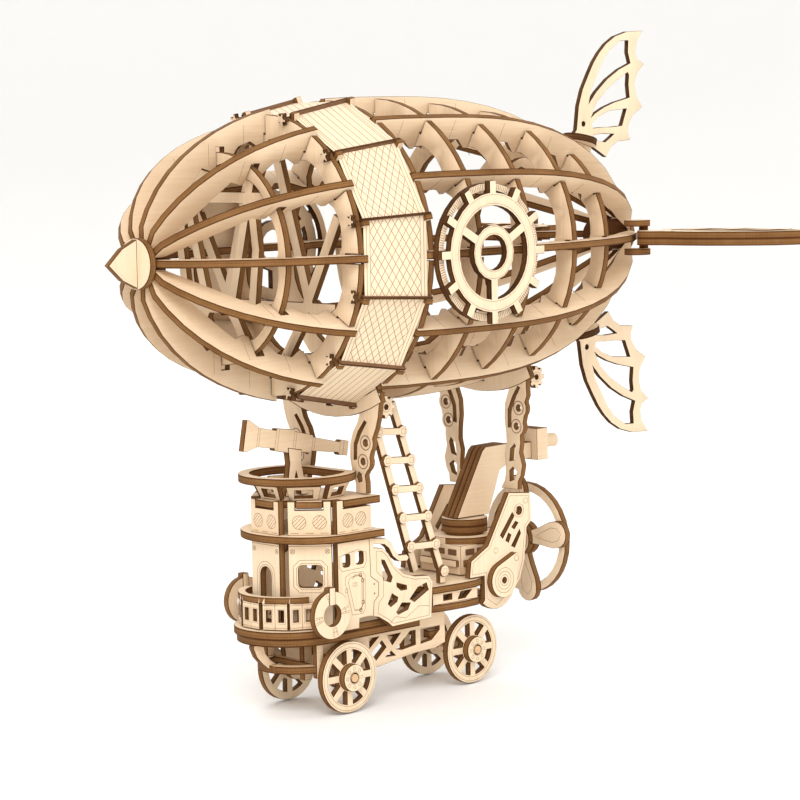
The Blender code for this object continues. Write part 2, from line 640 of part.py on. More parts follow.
def make_deck():
    """The main floor, two layers with a round bow."""
    bow = arc((-38.2, 0), 13.7, 90, 270, 28)
    layer = (DECK_TOP - DECK_BOTTOM) / 2
    outline = bow + [(-37.0, -13.7), (-37.0, -DECK_HALF_WIDTH), (-6.0, -DECK_HALF_WIDTH),
                     (-6.0, DECK_HALF_WIDTH), (-37.0, DECK_HALF_WIDTH), (-37.0, 13.7)]
    deck = plate("deck", outline, lying(DECK_TOP - layer / 2), thickness=layer)
    lower = arc((-38.0, 0), 13.2, 90, 270, 28) + [(-7.0, -12.4), (-7.0, 12.4)]
    combine(deck, [plate("lower", lower, lying(DECK_BOTTOM + layer / 2), thickness=layer + LAP)])


def make_side_plate(name, side):
    """The gondola's side: cabin windows ahead, then a bent pipe over a falling lattice."""
    outline = [(SIDE_PANEL_X, 22.0), (SIDE_PANEL_X, 42.1), (-24.7, 42.1), (-20.3, 41.6), (-18.3, 40.3),
               (-17.3, 38.4), (-15.9, 36.9), (-13.4, 36.8), (-12.6, 36.0), (-13.2, 35.2), (-15.9, 35.4),
               (-17.9, 36.9), (-19.1, 39.0), (-20.5, 40.1), (-24.0, 40.7), (-24.0, 39.7), (-21.1, 39.2),
               (-19.3, 37.7), (-17.1, 34.4), (-14.4, 32.2), (-10.8, 31.1), (-6.1, 30.7), (-4.9, 29.1),
               (-5.5, 20.1), (-18.5, 19.7), (-19.9, 20.9), (-22.8, 22.6), (-25.6, 23.3), (-29.1, 23.2),
               (-29.2, 20.8), (-33.8, 20.8), (-34.4, 22.0)]
    holes = [rounded(-34.1, 36.1, -31.7, 39.2, 0.7), rounded(-29.9, 36.3, -27.4, 39.4, 0.7),
             [(-21.6, 36.5), (-20.6, 36.2), (-18.2, 31.8), (-18.7, 30.6), (-21.2, 31.5)],
             [(-16.8, 30.2), (-13.6, 29.2), (-13.5, 28.2), (-15.5, 28.2), (-16.8, 29.3)],
             [(-18.4, 27.8), (-16.5, 26.6), (-16.8, 25.6), (-18.9, 24.6), (-19.8, 25.4)],
             [(-15.2, 25.1), (-12.4, 24.7), (-13.3, 23.2), (-16.5, 22.4), (-17.1, 23.1)],
             [(-12.6, 25.7), (-9.9, 28.2), (-7.0, 29.0), (-6.3, 27.2), (-11.1, 24.8)]]
    plate(name, outline, on_side(side * SIDE_Y), holes=holes, colour=PALE_WOOD)


def make_stern_deck():
    """Two stacked floor plates behind the main deck, held apart by pierced side strips and a block."""
    upper = [(-4.6, 13.5), (-1.0, 13.9), (6.0, 14.2), (11.0, 13.8), (14.3, 12.6), (14.3, 10.8), (24.0, 10.8)]
    upper += [(x, -y) for x, y in upper[::-1]]
    lower = [(-4.6, 12.8), (0.0, 13.6), (7.0, 13.9), (12.6, 13.2), (12.6, 10.8), (22.0, 10.8)]
    lower += [(x, -y) for x, y in lower[::-1]]
    top = plate("stern_deck", upper, lying(STERN_DECK_TOP - PLY / 2))
    pieces = [plate("lower", lower, lying(21.6))]
    middle_z = STERN_DECK_TOP - PLY - 1.45
    spread = 2.9 + 2 * LAP
    square = box_outline(0.4, middle_z - 0.7, 3.4, middle_z + 0.8)
    notch = [(5.4, middle_z - 0.9), (8.0, middle_z - 0.9), (10.2, middle_z + 0.9), (6.4, middle_z + 0.9)]
    for side in (-1, 1):
        strip_outline = box_outline(-3.2, middle_z - spread / 2, 12.2, middle_z + spread / 2)
        pieces.append(plate("strip", strip_outline, on_side(side * 12.2), holes=[square, notch]))
        block = box_outline(18.0, side * 9.8 - 1.2, 21.6, side * 9.8 + 1.0)
        pieces.append(plate("block", block, lying(middle_z), thickness=spread))
    combine(top, pieces)


def make_stern_plate(name, side):
    """A tall slanted plate at each side of the engine, with slots and a drop-shaped boss."""
    y = side * STERN_Y
    outline = [(24.0, 47.7), (16.4, 35.0), (10.4, 31.8), (9.8, 27.6), (14.9, 27.6), (14.9, 21.4),
               *arc((19.0, 25.6), 6.9, -135, -25, 7), (27.6, 25.4), (29.2, 29.8), (30.2, 38.3),
               (31.9, 39.8), (31.8, 46.9)]
    slots = [[(25.1, 42.6), (20.7, 37.2), (21.6, 36.3), (25.8, 41.6)],
             [(26.2, 40.2), (24.8, 38.9), (25.7, 38.2), (27.2, 39.7)],
             [(23.6, 37.5), (22.6, 35.7), (23.6, 35.0), (24.6, 36.9)],
             [(27.6, 38.0), (24.6, 34.1), (25.8, 33.5), (28.0, 36.9)]]
    body = plate(name, outline, on_side(y), holes=[*slots, circle(1.1, 12, (27.5, 42.8))])
    boss = [*arc((20.3, 26.0), 4.4, 113, 347, 20), *arc((24.7, 31.2), 1.3, -13, 113, 5)]
    outer = plate("boss", boss, on_side(y + side * (PLY - LAP)), holes=[circle(0.8, 12, (20.3, 26.0))])
    combine(body, [outer])


def make_chassis():
    """Two lattice frames under the deck, tied by floor strips, with arms that hold the axles."""
    outline = [(-36.0, 17.7), (-5.6, 17.7), (-4.2, 20.4), (4.7, 20.4), (4.7, 11.8), (1.5, 10.8),
               (-5.6, 10.5), (-9.9, 10.0),
               (-17.7, 8.9), (-21.6, 9.3), (-26.6, 6.9),
               *arc((FRONT_AXLE_X, WHEEL_RADIUS), 3.2, -40, -180, 6), (-34.4, 14.4), (-36.0, 14.8)]
    holes = [circle(AXLE_RADIUS + GAP, 12, (FRONT_AXLE_X, WHEEL_RADIUS)),
             [(-30.6, 15.8), (-24.6, 15.8), (-24.6, 11.2), (-26.6, 10.6)],
             [(-20.7, 16.3), (-17.6, 16.3), (-20.7, 13.9)],
             [(-20.2, 12.6), (-18.6, 10.6), (-15.2, 13.4), (-16.6, 15.2)],
             [(-14.8, 16.2), (-10.4, 16.2), (-13.2, 13.6)], [(-15.4, 11.0), (-13.6, 12.2), (-12.2, 10.9)],
             [(-11.9, 12.4), (-10.0, 12.0), (-5.4, 12.6), (-5.4, 16.2), (-7.2, 16.2)],
             [(-3.6, 16.2), (2.8, 16.2), (2.8, 15.2), (0.0, 13.0), (-3.6, 12.6)]]
    chassis = plate("chassis", outline, on_side(-8.0), holes=holes)
    arm = [(-1.0, 12.2), (5.6, 12.2), (10.8, 7.6), *arc((REAR_AXLE_X, WHEEL_RADIUS), 3.2, -150, 60, 9),
           (12.2, 12.2), (8.6, 13.2), (5.4, 15.8), (-1.0, 16.0)]
    pieces = [plate("other", outline, on_side(8.0), holes=holes)]
    for side in (-1, 1):
        bore = circle(AXLE_RADIUS + GAP, 16, (REAR_AXLE_X, WHEEL_RADIUS))
        pieces.append(plate("arm", arm, on_side(side * 5.0), holes=[bore]))
    pieces += [plate("floor", box_outline(-34.0, -8.0, 4.0, 8.0), lying(17.0), thickness=1.2),
               plate("tie", box_outline(0.2, -8.0, 3.6, 8.0), lying(14.2), thickness=PLY)]
    combine(chassis, pieces)


def make_keel():
    """Below the bow: a curved rim plate, a level half hoop and two short posts."""
    rim = [(-50.6, 17.7), (-50.6, 17.0), (-49.6, 14.8), (-47.8, 12.9), (-46.2, 11.6), (-43.8, 11.6),
           (-43.8, 12.6), (-45.4, 13.6), (-47.0, 15.4), (-47.6, 17.7)]
    keel = plate("bow_keel", rim, on_side(0))
    hoop = arc((-35.9, 0), 10.0, 98, 262, 18) + arc((-35.9, 0), 7.4, 262, 98, 16)
    pieces = [plate("hoop", hoop, lying(11.4), thickness=PLY)]
    for side in (-1, 1):
        post = box_outline(-38.6, 9.2, -36.4, 17.7)
        pieces.append(plate("post", post, on_side(side * 9.2), thickness=1.4))
    post = box_outline(-36.9, 7.6, -34.4, 17.7)
    pieces.append(plate("post", post, on_side(-2.4)))
    pieces.append(plate("bar", box_outline(-37.0, -9.6, -35.4, 9.6), lying(11.4), thickness=1.5))
    combine(keel, pieces)


def make_wheel(name, x, side, face):
    """An eight-spoke wheel with a raised hub cap, about its own axle."""
    origin = (x, side * (face - PLY / 2), WHEEL_RADIUS)
    shift = Matrix.Translation((x, WHEEL_RADIUS, 0))
    bore = circle(AXLE_RADIUS + GAP, 12)
    wheel = plate(name, circle(WHEEL_RADIUS, 40), on_side(origin[1]) @ shift,
                  holes=[*spoke_gaps(8, 3.6, 6.7, 1.8, 90), bore], origin=origin, colour=PALE_WOOD)
    cap_thickness = HUB_CAP_THICKNESS + LAP
    cap = plate("cap", circle(HUB_CAP, 24), on_side(side * (face - LAP + cap_thickness / 2)) @ shift,
                holes=[bore], thickness=cap_thickness, origin=origin)
    combine(wheel, [cap])


def make_axles():
    for label, x, face in (("front", FRONT_AXLE_X, FRONT_WHEEL_FACE),
                           ("rear", REAR_AXLE_X, REAR_WHEEL_FACE)):
        reach = face + HUB_CAP_THICKNESS + 0.2
        cylinder(f"axle_{label}", AXLE_RADIUS, (x, -reach, WHEEL_RADIUS), (x, reach, WHEEL_RADIUS), 16,
                 origin=(x, 0, WHEEL_RADIUS), colour=DARK_WOOD)
        make_wheel(f"wheel_{label}_port", x, -1, face)
        make_wheel(f"wheel_{label}_starboard", x, 1, face)


def make_telescope():
    """A flat spyglass, bell to the front, on a forked stand in the look-out."""
    half = [(0.0, 3.8), (1.0, 3.8), (3.6, 2.6), (4.4, 2.3), (9.4, 2.2), (9.6, 2.7), (15.0, 2.9), (15.4, 2.5),
            (21.0, 2.2), (21.4, 1.7), (29.8, 1.3), (30.4, 1.9), (33.0, 1.8)]
    outline = half + [(u, -v) for u, v in half[::-1]]
    aim = Matrix.Translation((-51.6, 68.4, 0)) @ Matrix.Rotation(math.radians(-10.6), 4, "Z")
    glass = plate("telescope", outline, on_side(0) @ aim)
    stand = [(-39.6, 52.6), (-38.6, 56.6), (-38.0, 60.4), (-38.4, 64.2), (-34.2, 63.4), (-34.4, 60.2),
             (-33.6, 56.6), (-32.4, 52.6), (-34.6, 52.6), (-35.4, 56.0), (-36.1, 58.4), (-36.8, 56.0),
             (-37.4, 52.6)]
    combine(glass, [plate("stand", stand, on_side(0), thickness=PLY + 2 * LAP)])


def make_ladder():
    """Two sloping stringers with five end-plated rungs, from the stern deck up to the envelope."""
    y = -11.4
    left_top = (-21.7, 74.6)
    left_foot = (-7.7, 31.6)
    right_top = (-14.3, 74.0)
    right_foot = (0.8, 31.4)
    left = plate("ladder", strip((-20.6, 71.2), left_foot, 1.9), on_side(y), thickness=1.4)
    pieces = [plate("right", strip(right_top, right_foot, 1.9), on_side(y), thickness=1.4),
              plate("foot", box_outline(0.3, 27.5, 2.3, 31.6), on_side(y), thickness=1.4)]
    pieces.append(plate("foot_plate", circle(1.5, 8, (1.3, 30.6)), on_side(y - 0.9), thickness=1.2))
    for number in range(5):
        part = 0.172 + 0.170 * number
        ends = [tuple(top + (foot - top) * part for top, foot in zip(*side))
                for side in ((left_top, left_foot), (right_top, right_foot))]
        rung = [strip(ends[0], ends[1], 1.7)] + [circle(1.5, 8, end) for end in ends]
        for shape in rung:
            pieces.append(plate("rung", shape, on_side(y - 0.9), thickness=1.2))
    combine(left, pieces)


def make_lifebuoy(name, side):
    x = -39.4
    z = 25.6
    buoy = plate(name, circle(5.7, 32, (x, z)), on_side(side * 16.2), holes=[circle(2.7, 24, (x, z))],
                 colour=PALE_WOOD)
    clip = plate("clip", box_outline(x - 0.9, z + 2.4, x + 0.9, z + 6.6), on_side(side * 16.2),
                 thickness=PLY + 2 * LAP)
    combine(buoy, [clip])


def make_engine():
    """A box on the stern deck under a round base and a drum of stacked discs, bored for the shaft."""
    box = plate("engine", box_outline(12.0, -7.4, 26.4, 7.4), lying(31.2), thickness=7.4)
    pieces = [plate("base", circle(7.9, 28, (19.8, 0)), lying(35.6), thickness=PLY),
              plate("neck", circle(4.8, 24, (20.6, 0)), lying(36.8), thickness=1.2),
              plate("drum", circle(5.9, 28, (20.6, 0)), lying(39.0), thickness=3.6)]
    combine(box, pieces)
    bore = cylinder("bore", AXLE_RADIUS + GAP, (21.0, 0, SHAFT_Z), (28.0, 0, SHAFT_Z), 16)
    combine(box, [bore], "DIFFERENCE")


def make_funnel():
    """Three layers bent aft over the engine, ending in a pipe with a square head."""
    outline = [(15.6, 41.1), (24.8, 57.4), (26.0, 58.4), (34.0, 58.6), (34.0, 53.4), (31.0, 52.0),
               (26.8, 41.1)]
    funnel = plate("funnel", outline, on_side(0), thickness=3 * PLY)
    pieces = [plate("pipe", box_outline(33.0, 53.8, 44.0, 58.0), on_side(0), thickness=3.6),
              plate("head", box_outline(43.4, 53.4, 47.4, 61.6), on_side(0), thickness=8.0),
              cylinder("nub", 1.8, (47.2, 0, 57.6), (53.6, 0, 57.6), 16)]
    combine(funnel, pieces)


def make_propeller():
    """Four paddles in front of a thin hoop, on a shaft from the engine."""
    origin = (SHAFT_X, 0, SHAFT_Z)
    outline = []
    for number in range(4):
        turn = math.radians(90 * number + 9)
        blade = [(3.2, -1.6), (7.0, -2.3), (11.0, -3.4), *arc((13.1, 0), 3.4, -90, 90, 8), (11.0, 3.4),
                 (7.0, 2.3), (3.2, 1.6)]
        for u, v in blade:
            outline.append((-(u * math.cos(turn) - v * math.sin(turn)),
                            u * math.sin(turn) + v * math.cos(turn)))
    place = across(SHAFT_X, SHAFT_Z)
    blades = plate("propeller", outline, place, origin=origin, colour=PALE_WOOD)
    hoop = plate("hoop", circle(14.5, 32), across(SHAFT_X + PLY - LAP, SHAFT_Z),
                 holes=[circle(12.3, 28)], origin=origin)
    disc = cylinder("disc", 4.4, (SHAFT_X - 2.4, 0, SHAFT_Z), (SHAFT_X + 2.0, 0, SHAFT_Z), 24,
                    origin=origin)
    combine(blades, [hoop, disc])
    bore = cylinder("bore", AXLE_RADIUS + GAP, (SHAFT_X - 4, 0, SHAFT_Z), (SHAFT_X + 4, 0, SHAFT_Z), 16,
                    origin=origin)
    combine(blades, [bore], "DIFFERENCE")
    cylinder("propeller_shaft", AXLE_RADIUS, (21.4, 0, SHAFT_Z), (SHAFT_X + 3.4, 0, SHAFT_Z), 16,
             origin=origin, colour=DARK_WOOD)


def build():
    for thing in list(bpy.data.objects):
        bpy.data.objects.remove(thing)
    make_ribs()
    make_rings()
    make_band()
    make_caps()
    make_wings()
    make_medallion("medallion_port", -1)
    make_medallion("medallion_starboard", 1)
    make_cogs()
    make_upper_tower()
    make_lower_tower()
    make_nest()
    make_balcony()
    make_deck()
    make_side_plate("side_plate_port", -1)
    make_side_plate("side_plate_starboard", 1)
    make_stern_deck()
    make_stern_plate("stern_plate_port", -1)
    make_stern_plate("stern_plate_starboard", 1)
    make_chassis()
    make_keel()
    make_axles()
    make_telescope()
    make_ladder()
    make_lifebuoy("lifebuoy_port", -1)
    make_lifebuoy("lifebuoy_starboard", 1)
    make_engine()
    make_funnel()
    make_propeller()


build()
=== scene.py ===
import math
import bmesh
import bpy
from mathutils import Matrix, Vector


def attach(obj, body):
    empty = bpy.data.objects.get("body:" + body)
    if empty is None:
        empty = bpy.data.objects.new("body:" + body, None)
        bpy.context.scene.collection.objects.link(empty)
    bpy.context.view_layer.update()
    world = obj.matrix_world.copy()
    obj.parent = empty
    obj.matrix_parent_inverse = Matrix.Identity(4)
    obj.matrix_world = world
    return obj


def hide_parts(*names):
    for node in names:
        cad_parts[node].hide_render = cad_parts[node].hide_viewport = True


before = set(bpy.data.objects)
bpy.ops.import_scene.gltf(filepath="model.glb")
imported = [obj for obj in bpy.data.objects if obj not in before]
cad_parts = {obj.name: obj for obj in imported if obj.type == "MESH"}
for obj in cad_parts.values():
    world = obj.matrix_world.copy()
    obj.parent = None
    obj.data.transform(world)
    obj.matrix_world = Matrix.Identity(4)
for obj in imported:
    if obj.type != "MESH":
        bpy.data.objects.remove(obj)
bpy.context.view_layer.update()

# The stage: a pale round tent with a level floor that curves up into its wall, so every side of
# the toy has the same soft background. The wheels stand at z = 0, a hair above the floor.
MM = 0.001
TENT_RADIUS = 2.2
TENT_WALL = 2.0
TENT_CURVE = 0.8
FLOOR_GAP = 0.0003
bpy.ops.object.select_all(action="DESELECT")
bpy.ops.mesh.primitive_circle_add(vertices=64, radius=TENT_RADIUS, fill_type="NGON",
                                  location=(0, 0, -FLOOR_GAP))
floor = bpy.context.object
floor.name = "studio_floor"
bpy.ops.object.mode_set(mode="EDIT")
bpy.ops.mesh.select_mode(type="EDGE")
bpy.ops.mesh.select_all(action="SELECT")
bpy.ops.mesh.extrude_edges_move(TRANSFORM_OT_translate={"value": (0, 0, TENT_WALL)})
bpy.ops.mesh.select_all(action="DESELECT")
bpy.ops.object.mode_set(mode="OBJECT")
for edge in floor.data.edges:
    ends = [floor.data.vertices[v].co.z for v in edge.vertices]
    edge.select = max(ends) < 0.5 * TENT_WALL
bpy.ops.object.mode_set(mode="EDIT")
bpy.ops.mesh.bevel(offset=TENT_CURVE, segments=10, affect="EDGES")
bpy.ops.mesh.select_all(action="SELECT")
bpy.ops.mesh.normals_make_consistent(inside=True)
bpy.ops.object.mode_set(mode="OBJECT")
bpy.ops.object.shade_smooth()
bpy.ops.object.transform_apply(location=True, rotation=True, scale=True)
paper = bpy.data.materials.new("studio_paper")
paper.use_nodes = True
paper_shader = paper.node_tree.nodes["Principled BSDF"]
paper_shader.inputs["Roughness"].default_value = 0.9
paper_shader.inputs["Base Color"].default_value = (0.93, 0.925, 0.915, 1.0)
floor.data.materials.append(paper)

# Soft daylight from every side, a broad key lamp over the photographer's left shoulder and a
# weaker fill from the right, as in a product picture.
world = bpy.context.scene.world or bpy.data.worlds.new("daylight")
bpy.context.scene.world = world
world.use_nodes = True
background = next(n for n in world.node_tree.nodes if n.type == "BACKGROUND")
background.inputs["Color"].default_value = (1.0, 0.99, 0.97, 1.0)
background.inputs["Strength"].default_value = 0.92
LAMPS_AIM = Vector((0, 0, 0.08))
bpy.context.scene.view_settings.view_transform = "Standard"
bpy.context.scene.view_settings.look = "None"
for lamp_name, spot, size, watts in (("key_lamp", (-0.75, -0.75, 0.85), 0.7, 11.0),
                                     ("fill_lamp", (0.9, -0.9, 0.35), 0.9, 4.0),
                                     ("back_lamp", (0.5, 0.9, 1.0), 0.9, 5.0)):
    lamp_data = bpy.data.lights.new(lamp_name, "AREA")
    lamp_data.size = size
    lamp_data.energy = watts
    lamp = bpy.data.objects.new(lamp_name, lamp_data)
    bpy.context.scene.collection.objects.link(lamp)
    lamp.location = spot
    lamp.rotation_euler = (LAMPS_AIM - Vector(spot)).to_track_quat("-Z", "Y").to_euler()

# The camera stands ahead of the port bow, a little above the middle of the envelope, and looks
# down by four degrees: the viewing angle of the photograph.
CAMERA_YAW, CAMERA_PITCH, CAMERA_ROLL = math.radians(42.35), math.radians(4.37), math.radians(1.18)
CAMERA_DISTANCE, CAMERA_AIM_Z = 0.6814, 0.09077
PICTURE, FOCAL_PIXELS = 800, 2729.2
PICTURE_MIDDLE, SIGHT_X, SIGHT_Y = PICTURE / 2, 401, 327.4
SENSOR = 36
ahead = Vector((math.sin(CAMERA_YAW) * math.cos(CAMERA_PITCH),
                math.cos(CAMERA_YAW) * math.cos(CAMERA_PITCH), -math.sin(CAMERA_PITCH)))
level = Vector((math.cos(CAMERA_YAW), -math.sin(CAMERA_YAW), 0))
down = ahead.cross(level)
right = level * math.cos(CAMERA_ROLL) + down * math.sin(CAMERA_ROLL)
down = down * math.cos(CAMERA_ROLL) - level * math.sin(CAMERA_ROLL)
camera_data = bpy.data.cameras.new("camera")
camera_data.lens = FOCAL_PIXELS / PICTURE * SENSOR
camera_data.sensor_width = SENSOR
camera_data.shift_x = -(SIGHT_X - PICTURE_MIDDLE) / PICTURE
camera_data.shift_y = (SIGHT_Y - PICTURE_MIDDLE) / PICTURE
camera = bpy.data.objects.new("camera", camera_data)
bpy.context.scene.collection.objects.link(camera)
turn = Matrix((right, -down, -ahead)).transposed().to_4x4()
camera.matrix_world = Matrix.Translation(Vector((0, 0, CAMERA_AIM_Z)) - ahead * CAMERA_DISTANCE) @ turn
bpy.context.scene.camera = camera

# The ribs: twelve equal strips of birch ply, cut by laser and slotted into the rings. A sheet's
# flat sides are pale with a fine grain, and its cut edges are browned, with the plies showing.
AXIS_Z = 110.77
PLY = 1.8
PLY_FACE = PLY / 2
EDGE_SOFTENING = 0.09
BREAK_ANGLE, SMOOTH_ANGLE = math.radians(40), math.radians(32)
ON_THE_SHEET = 0.13
RIBS, RIB_STEP = 12, 30
ALONG, ACROSS, UP = Vector((1, 0, 0)), Vector((0, 1, 0)), Vector((0, 0, 1))
FINE, LONG = 1500.0, 70.0


def add_node(tree, kind, spot, **values):
    """A shader node with settings by attribute name and sockets by position."""
    made = tree.nodes.new(kind)
    made.location = spot
    for key, value in values.items():
        if key.startswith("socket_"):
            made.inputs[int(key[7:])].default_value = value
        else:
            setattr(made, key, value)
    return made


def arith(tree, operation, spot, **values):
    """A math node, its fixed terms given as sockets."""
    return add_node(tree, "ShaderNodeMath", spot, operation=operation, **values)


def wire(tree, *links):
    """Links of a shader tree: a node and its output, then a node and its input."""
    for giver, output, taker, socket in links:
        tree.links.new(giver.outputs[output], taker.inputs[socket])


def ramp(tree, spot, stops):
    """A colour ramp from pairs of a place and a colour or grey value."""
    made = tree.nodes.new("ShaderNodeValToRGB")
    made.location = spot
    band_of = made.color_ramp
    while len(band_of.elements) < len(stops):
        band_of.elements.new(0.5)
    for element, (place, colour) in zip(band_of.elements, stops):
        element.position = place
        element.color = colour if isinstance(colour, tuple) else (colour, colour, colour, 1.0)
    return made


def open_group(name, inputs, outputs):
    """An empty shader group with named sockets and its two end nodes."""
    group = bpy.data.node_groups.new(name, "ShaderNodeTree")
    for label, kind, value in inputs:
        made = group.interface.new_socket(label, in_out="INPUT", socket_type="NodeSocket" + kind)
        if value is not None:
            made.default_value = value
    for label, kind in outputs:
        group.interface.new_socket(label, in_out="OUTPUT", socket_type="NodeSocket" + kind)
    return group, add_node(group, "NodeGroupInput", (-1400, 0)), add_node(group, "NodeGroupOutput", (900, 0))


# Wood grain of a rotary-cut veneer: long fibres, soft cloudy tone and a few darker flecks
grain, grain_in, grain_out = open_group(
    "veneer_grain",
    [("Fibre Position", "Vector", None), ("Place", "Vector", None),
     ("Pale", "Color", (0.85, 0.65, 0.40, 1.0)), ("Warm", "Color", (0.70, 0.46, 0.24, 1.0)),
     ("Fleck", "Float", 0.35), ("Rough", "Float", 0.62)],
    [("Color", "Color"), ("Roughness", "Float"), ("Height", "Float")])
fibre = add_node(grain, "ShaderNodeTexNoise", (-1100, 300), socket_2=1.0, socket_3=6.0, socket_4=0.62)
cloud = add_node(grain, "ShaderNodeTexNoise", (-1100, 0), socket_2=55.0, socket_3=3.0, socket_4=0.5)
fleck = add_node(grain, "ShaderNodeTexNoise", (-1100, -300), socket_2=2.6, socket_3=2.0, socket_4=0.5)
fibre_tone = ramp(grain, (-850, 300), [(0.30, 0.0), (0.72, 1.0)])
fleck_tone = ramp(grain, (-850, -300), [(0.66, 0.0), (0.74, 1.0)])
tone = arith(grain, "MULTIPLY_ADD", (-550, 200), socket_1=0.34)
cloud_part = arith(grain, "MULTIPLY", (-800, 50), socket_1=0.42)
blend_wood = add_node(grain, "ShaderNodeMix", (-250, 200), data_type="RGBA")
fleck_part = arith(grain, "MULTIPLY", (-550, -250))
darker = add_node(grain, "ShaderNodeMix", (50, 100), data_type="RGBA", blend_type="MULTIPLY")
darker.inputs["B"].default_value = (0.72, 0.55, 0.38, 1.0)
rough_mix = arith(grain, "MULTIPLY_ADD", (50, -200), socket_1=0.12)
wire(grain, (grain_in, "Fibre Position", fibre, "Vector"), (grain_in, "Place", cloud, "Vector"),
     (grain_in, "Fibre Position", fleck, "Vector"), (fibre, 0, fibre_tone, 0), (fleck, 0, fleck_tone, 0),
     (cloud, 0, cloud_part, 0), (fibre_tone, 0, tone, 0), (cloud_part, 0, tone, 2),
     (tone, 0, blend_wood, "Factor"), (grain_in, "Pale", blend_wood, "A"),
     (grain_in, "Warm", blend_wood, "B"), (fleck_tone, 0, fleck_part, 0), (grain_in, "Fleck", fleck_part, 1),
     (fleck_part, 0, darker, "Factor"), (blend_wood, "Result", darker, "A"), (fibre, 0, rough_mix, 0),
     (grain_in, "Rough", rough_mix, 2), (darker, "Result", grain_out, "Color"),
     (rough_mix, 0, grain_out, "Roughness"), (fibre, 0, grain_out, "Height"))

# Laser-cut edge: U runs along the cut and V counts the sheets across it, each sheet with a
# charred skin, a paler core between two glue lines, and the fine stripes that the beam leaves
char, char_in, char_out = open_group(
    "laser_char",
    [("Along", "Float", None), ("Across", "Float", None), ("Place", "Vector", None),
     ("Core", "Color", (0.36, 0.19, 0.085, 1.0)), ("Char", "Color", (0.10, 0.045, 0.018, 1.0)),
     ("Burn", "Float", 0.5)],
    [("Color", "Color"), ("Roughness", "Float"), ("Height", "Float")])
ply_part = arith(char, "FRACT", (-1150, 200))
plies = ramp(char, (-900, 300),
             [(0.0, 1.3), (0.10, 1.0), (0.17, 0.15), (0.36, 0.05), (0.42, 0.45), (0.50, 0.0), (0.64, 0.05),
              (0.83, 0.15), (0.90, 1.0), (1.0, 1.3)])
stripe_place = add_node(char, "ShaderNodeCombineXYZ", (-1150, -50))
stripes = add_node(char, "ShaderNodeTexNoise", (-900, -50), socket_2=3.2, socket_3=3.0, socket_4=0.7)
smoke = add_node(char, "ShaderNodeTexNoise", (-900, -350), socket_2=110.0, socket_3=3.0, socket_4=0.6)
sum_a = arith(char, "MULTIPLY_ADD", (-550, 150), socket_1=0.75)
smoke_part = arith(char, "MULTIPLY_ADD", (-650, -350), socket_1=0.8, socket_2=-0.22)
burn_part = arith(char, "ADD", (-550, -100))
total = arith(char, "MULTIPLY_ADD", (-300, 100))
total.use_clamp = True
blend_char = add_node(char, "ShaderNodeMix", (0, 150), data_type="RGBA")
char_rough = arith(char, "MULTIPLY_ADD", (0, -150), socket_1=0.2, socket_2=0.6)
wire(char, (char_in, "Across", ply_part, 0), (ply_part, 0, plies, 0), (char_in, "Along", stripe_place, 0),
     (stripe_place, 0, stripes, "Vector"), (char_in, "Place", smoke, "Vector"), (smoke, 0, smoke_part, 0),
     (stripes, 0, sum_a, 0), (smoke_part, 0, sum_a, 2), (sum_a, 0, burn_part, 0), (plies, 0, burn_part, 1),
     (burn_part, 0, total, 0), (char_in, "Burn", total, 1), (total, 0, blend_char, "Factor"),
     (char_in, "Core", blend_char, "A"), (char_in, "Char", blend_char, "B"),
     (blend_char, "Result", char_out, "Color"), (stripes, 0, char_rough, 0),
     (char_rough, 0, char_out, "Roughness"), (stripes, 0, char_out, "Height"))


def veneer(name, stretch, pale, warm, fleck=0.35):
    """Flat side of a sheet, its fibres along the axis that is stretched least."""
    material = bpy.data.materials.new(name)
    material.use_nodes = True
    tree = material.node_tree
    shader = tree.nodes["Principled BSDF"]
    where = add_node(tree, "ShaderNodeTexCoord", (-1100, 0))
    scale = add_node(tree, "ShaderNodeMapping", (-900, 150), socket_3=stretch)
    wood = add_node(tree, "ShaderNodeGroup", (-600, 0), node_tree=grain)
    wood.inputs["Pale"].default_value = pale
    wood.inputs["Warm"].default_value = warm
    wood.inputs["Fleck"].default_value = fleck
    relief = add_node(tree, "ShaderNodeBump", (-300, -200), socket_0=0.12, socket_1=0.00005)
    wire(tree, (where, "Object", scale, "Vector"), (scale, 0, wood, "Fibre Position"),
         (where, "Object", wood, "Place"), (wood, "Color", shader, "Base Color"),
         (wood, "Roughness", shader, "Roughness"), (wood, "Height", relief, "Height"),
         (relief, 0, shader, "Normal"))
    shader.inputs["Specular IOR Level"].default_value = 0.3
    return material


def cut_edge(name, core, burnt, burn):
    """Browned cut edge of a sheet, from its own map of the cut."""
    material = bpy.data.materials.new(name)
    material.use_nodes = True
    tree = material.node_tree
    shader = tree.nodes["Principled BSDF"]
    where = add_node(tree, "ShaderNodeTexCoord", (-1100, -200))
    cut_map = add_node(tree, "ShaderNodeUVMap", (-1100, 100), uv_map="cut")
    parts = add_node(tree, "ShaderNodeSeparateXYZ", (-900, 100))
    edge = add_node(tree, "ShaderNodeGroup", (-600, 0), node_tree=char)
    edge.inputs["Core"].default_value = core
    edge.inputs["Char"].default_value = burnt
    edge.inputs["Burn"].default_value = burn
    relief = add_node(tree, "ShaderNodeBump", (-300, -200), socket_0=0.15, socket_1=0.00005)
    wire(tree, (cut_map, 0, parts, 0), (parts, 0, edge, "Along"), (parts, 1, edge, "Across"),
         (where, "Object", edge, "Place"), (edge, "Color", shader, "Base Color"),
         (edge, "Roughness", shader, "Roughness"), (edge, "Height", relief, "Height"),
         (relief, 0, shader, "Normal"))
    shader.inputs["Specular IOR Level"].default_value = 0.08
    return material


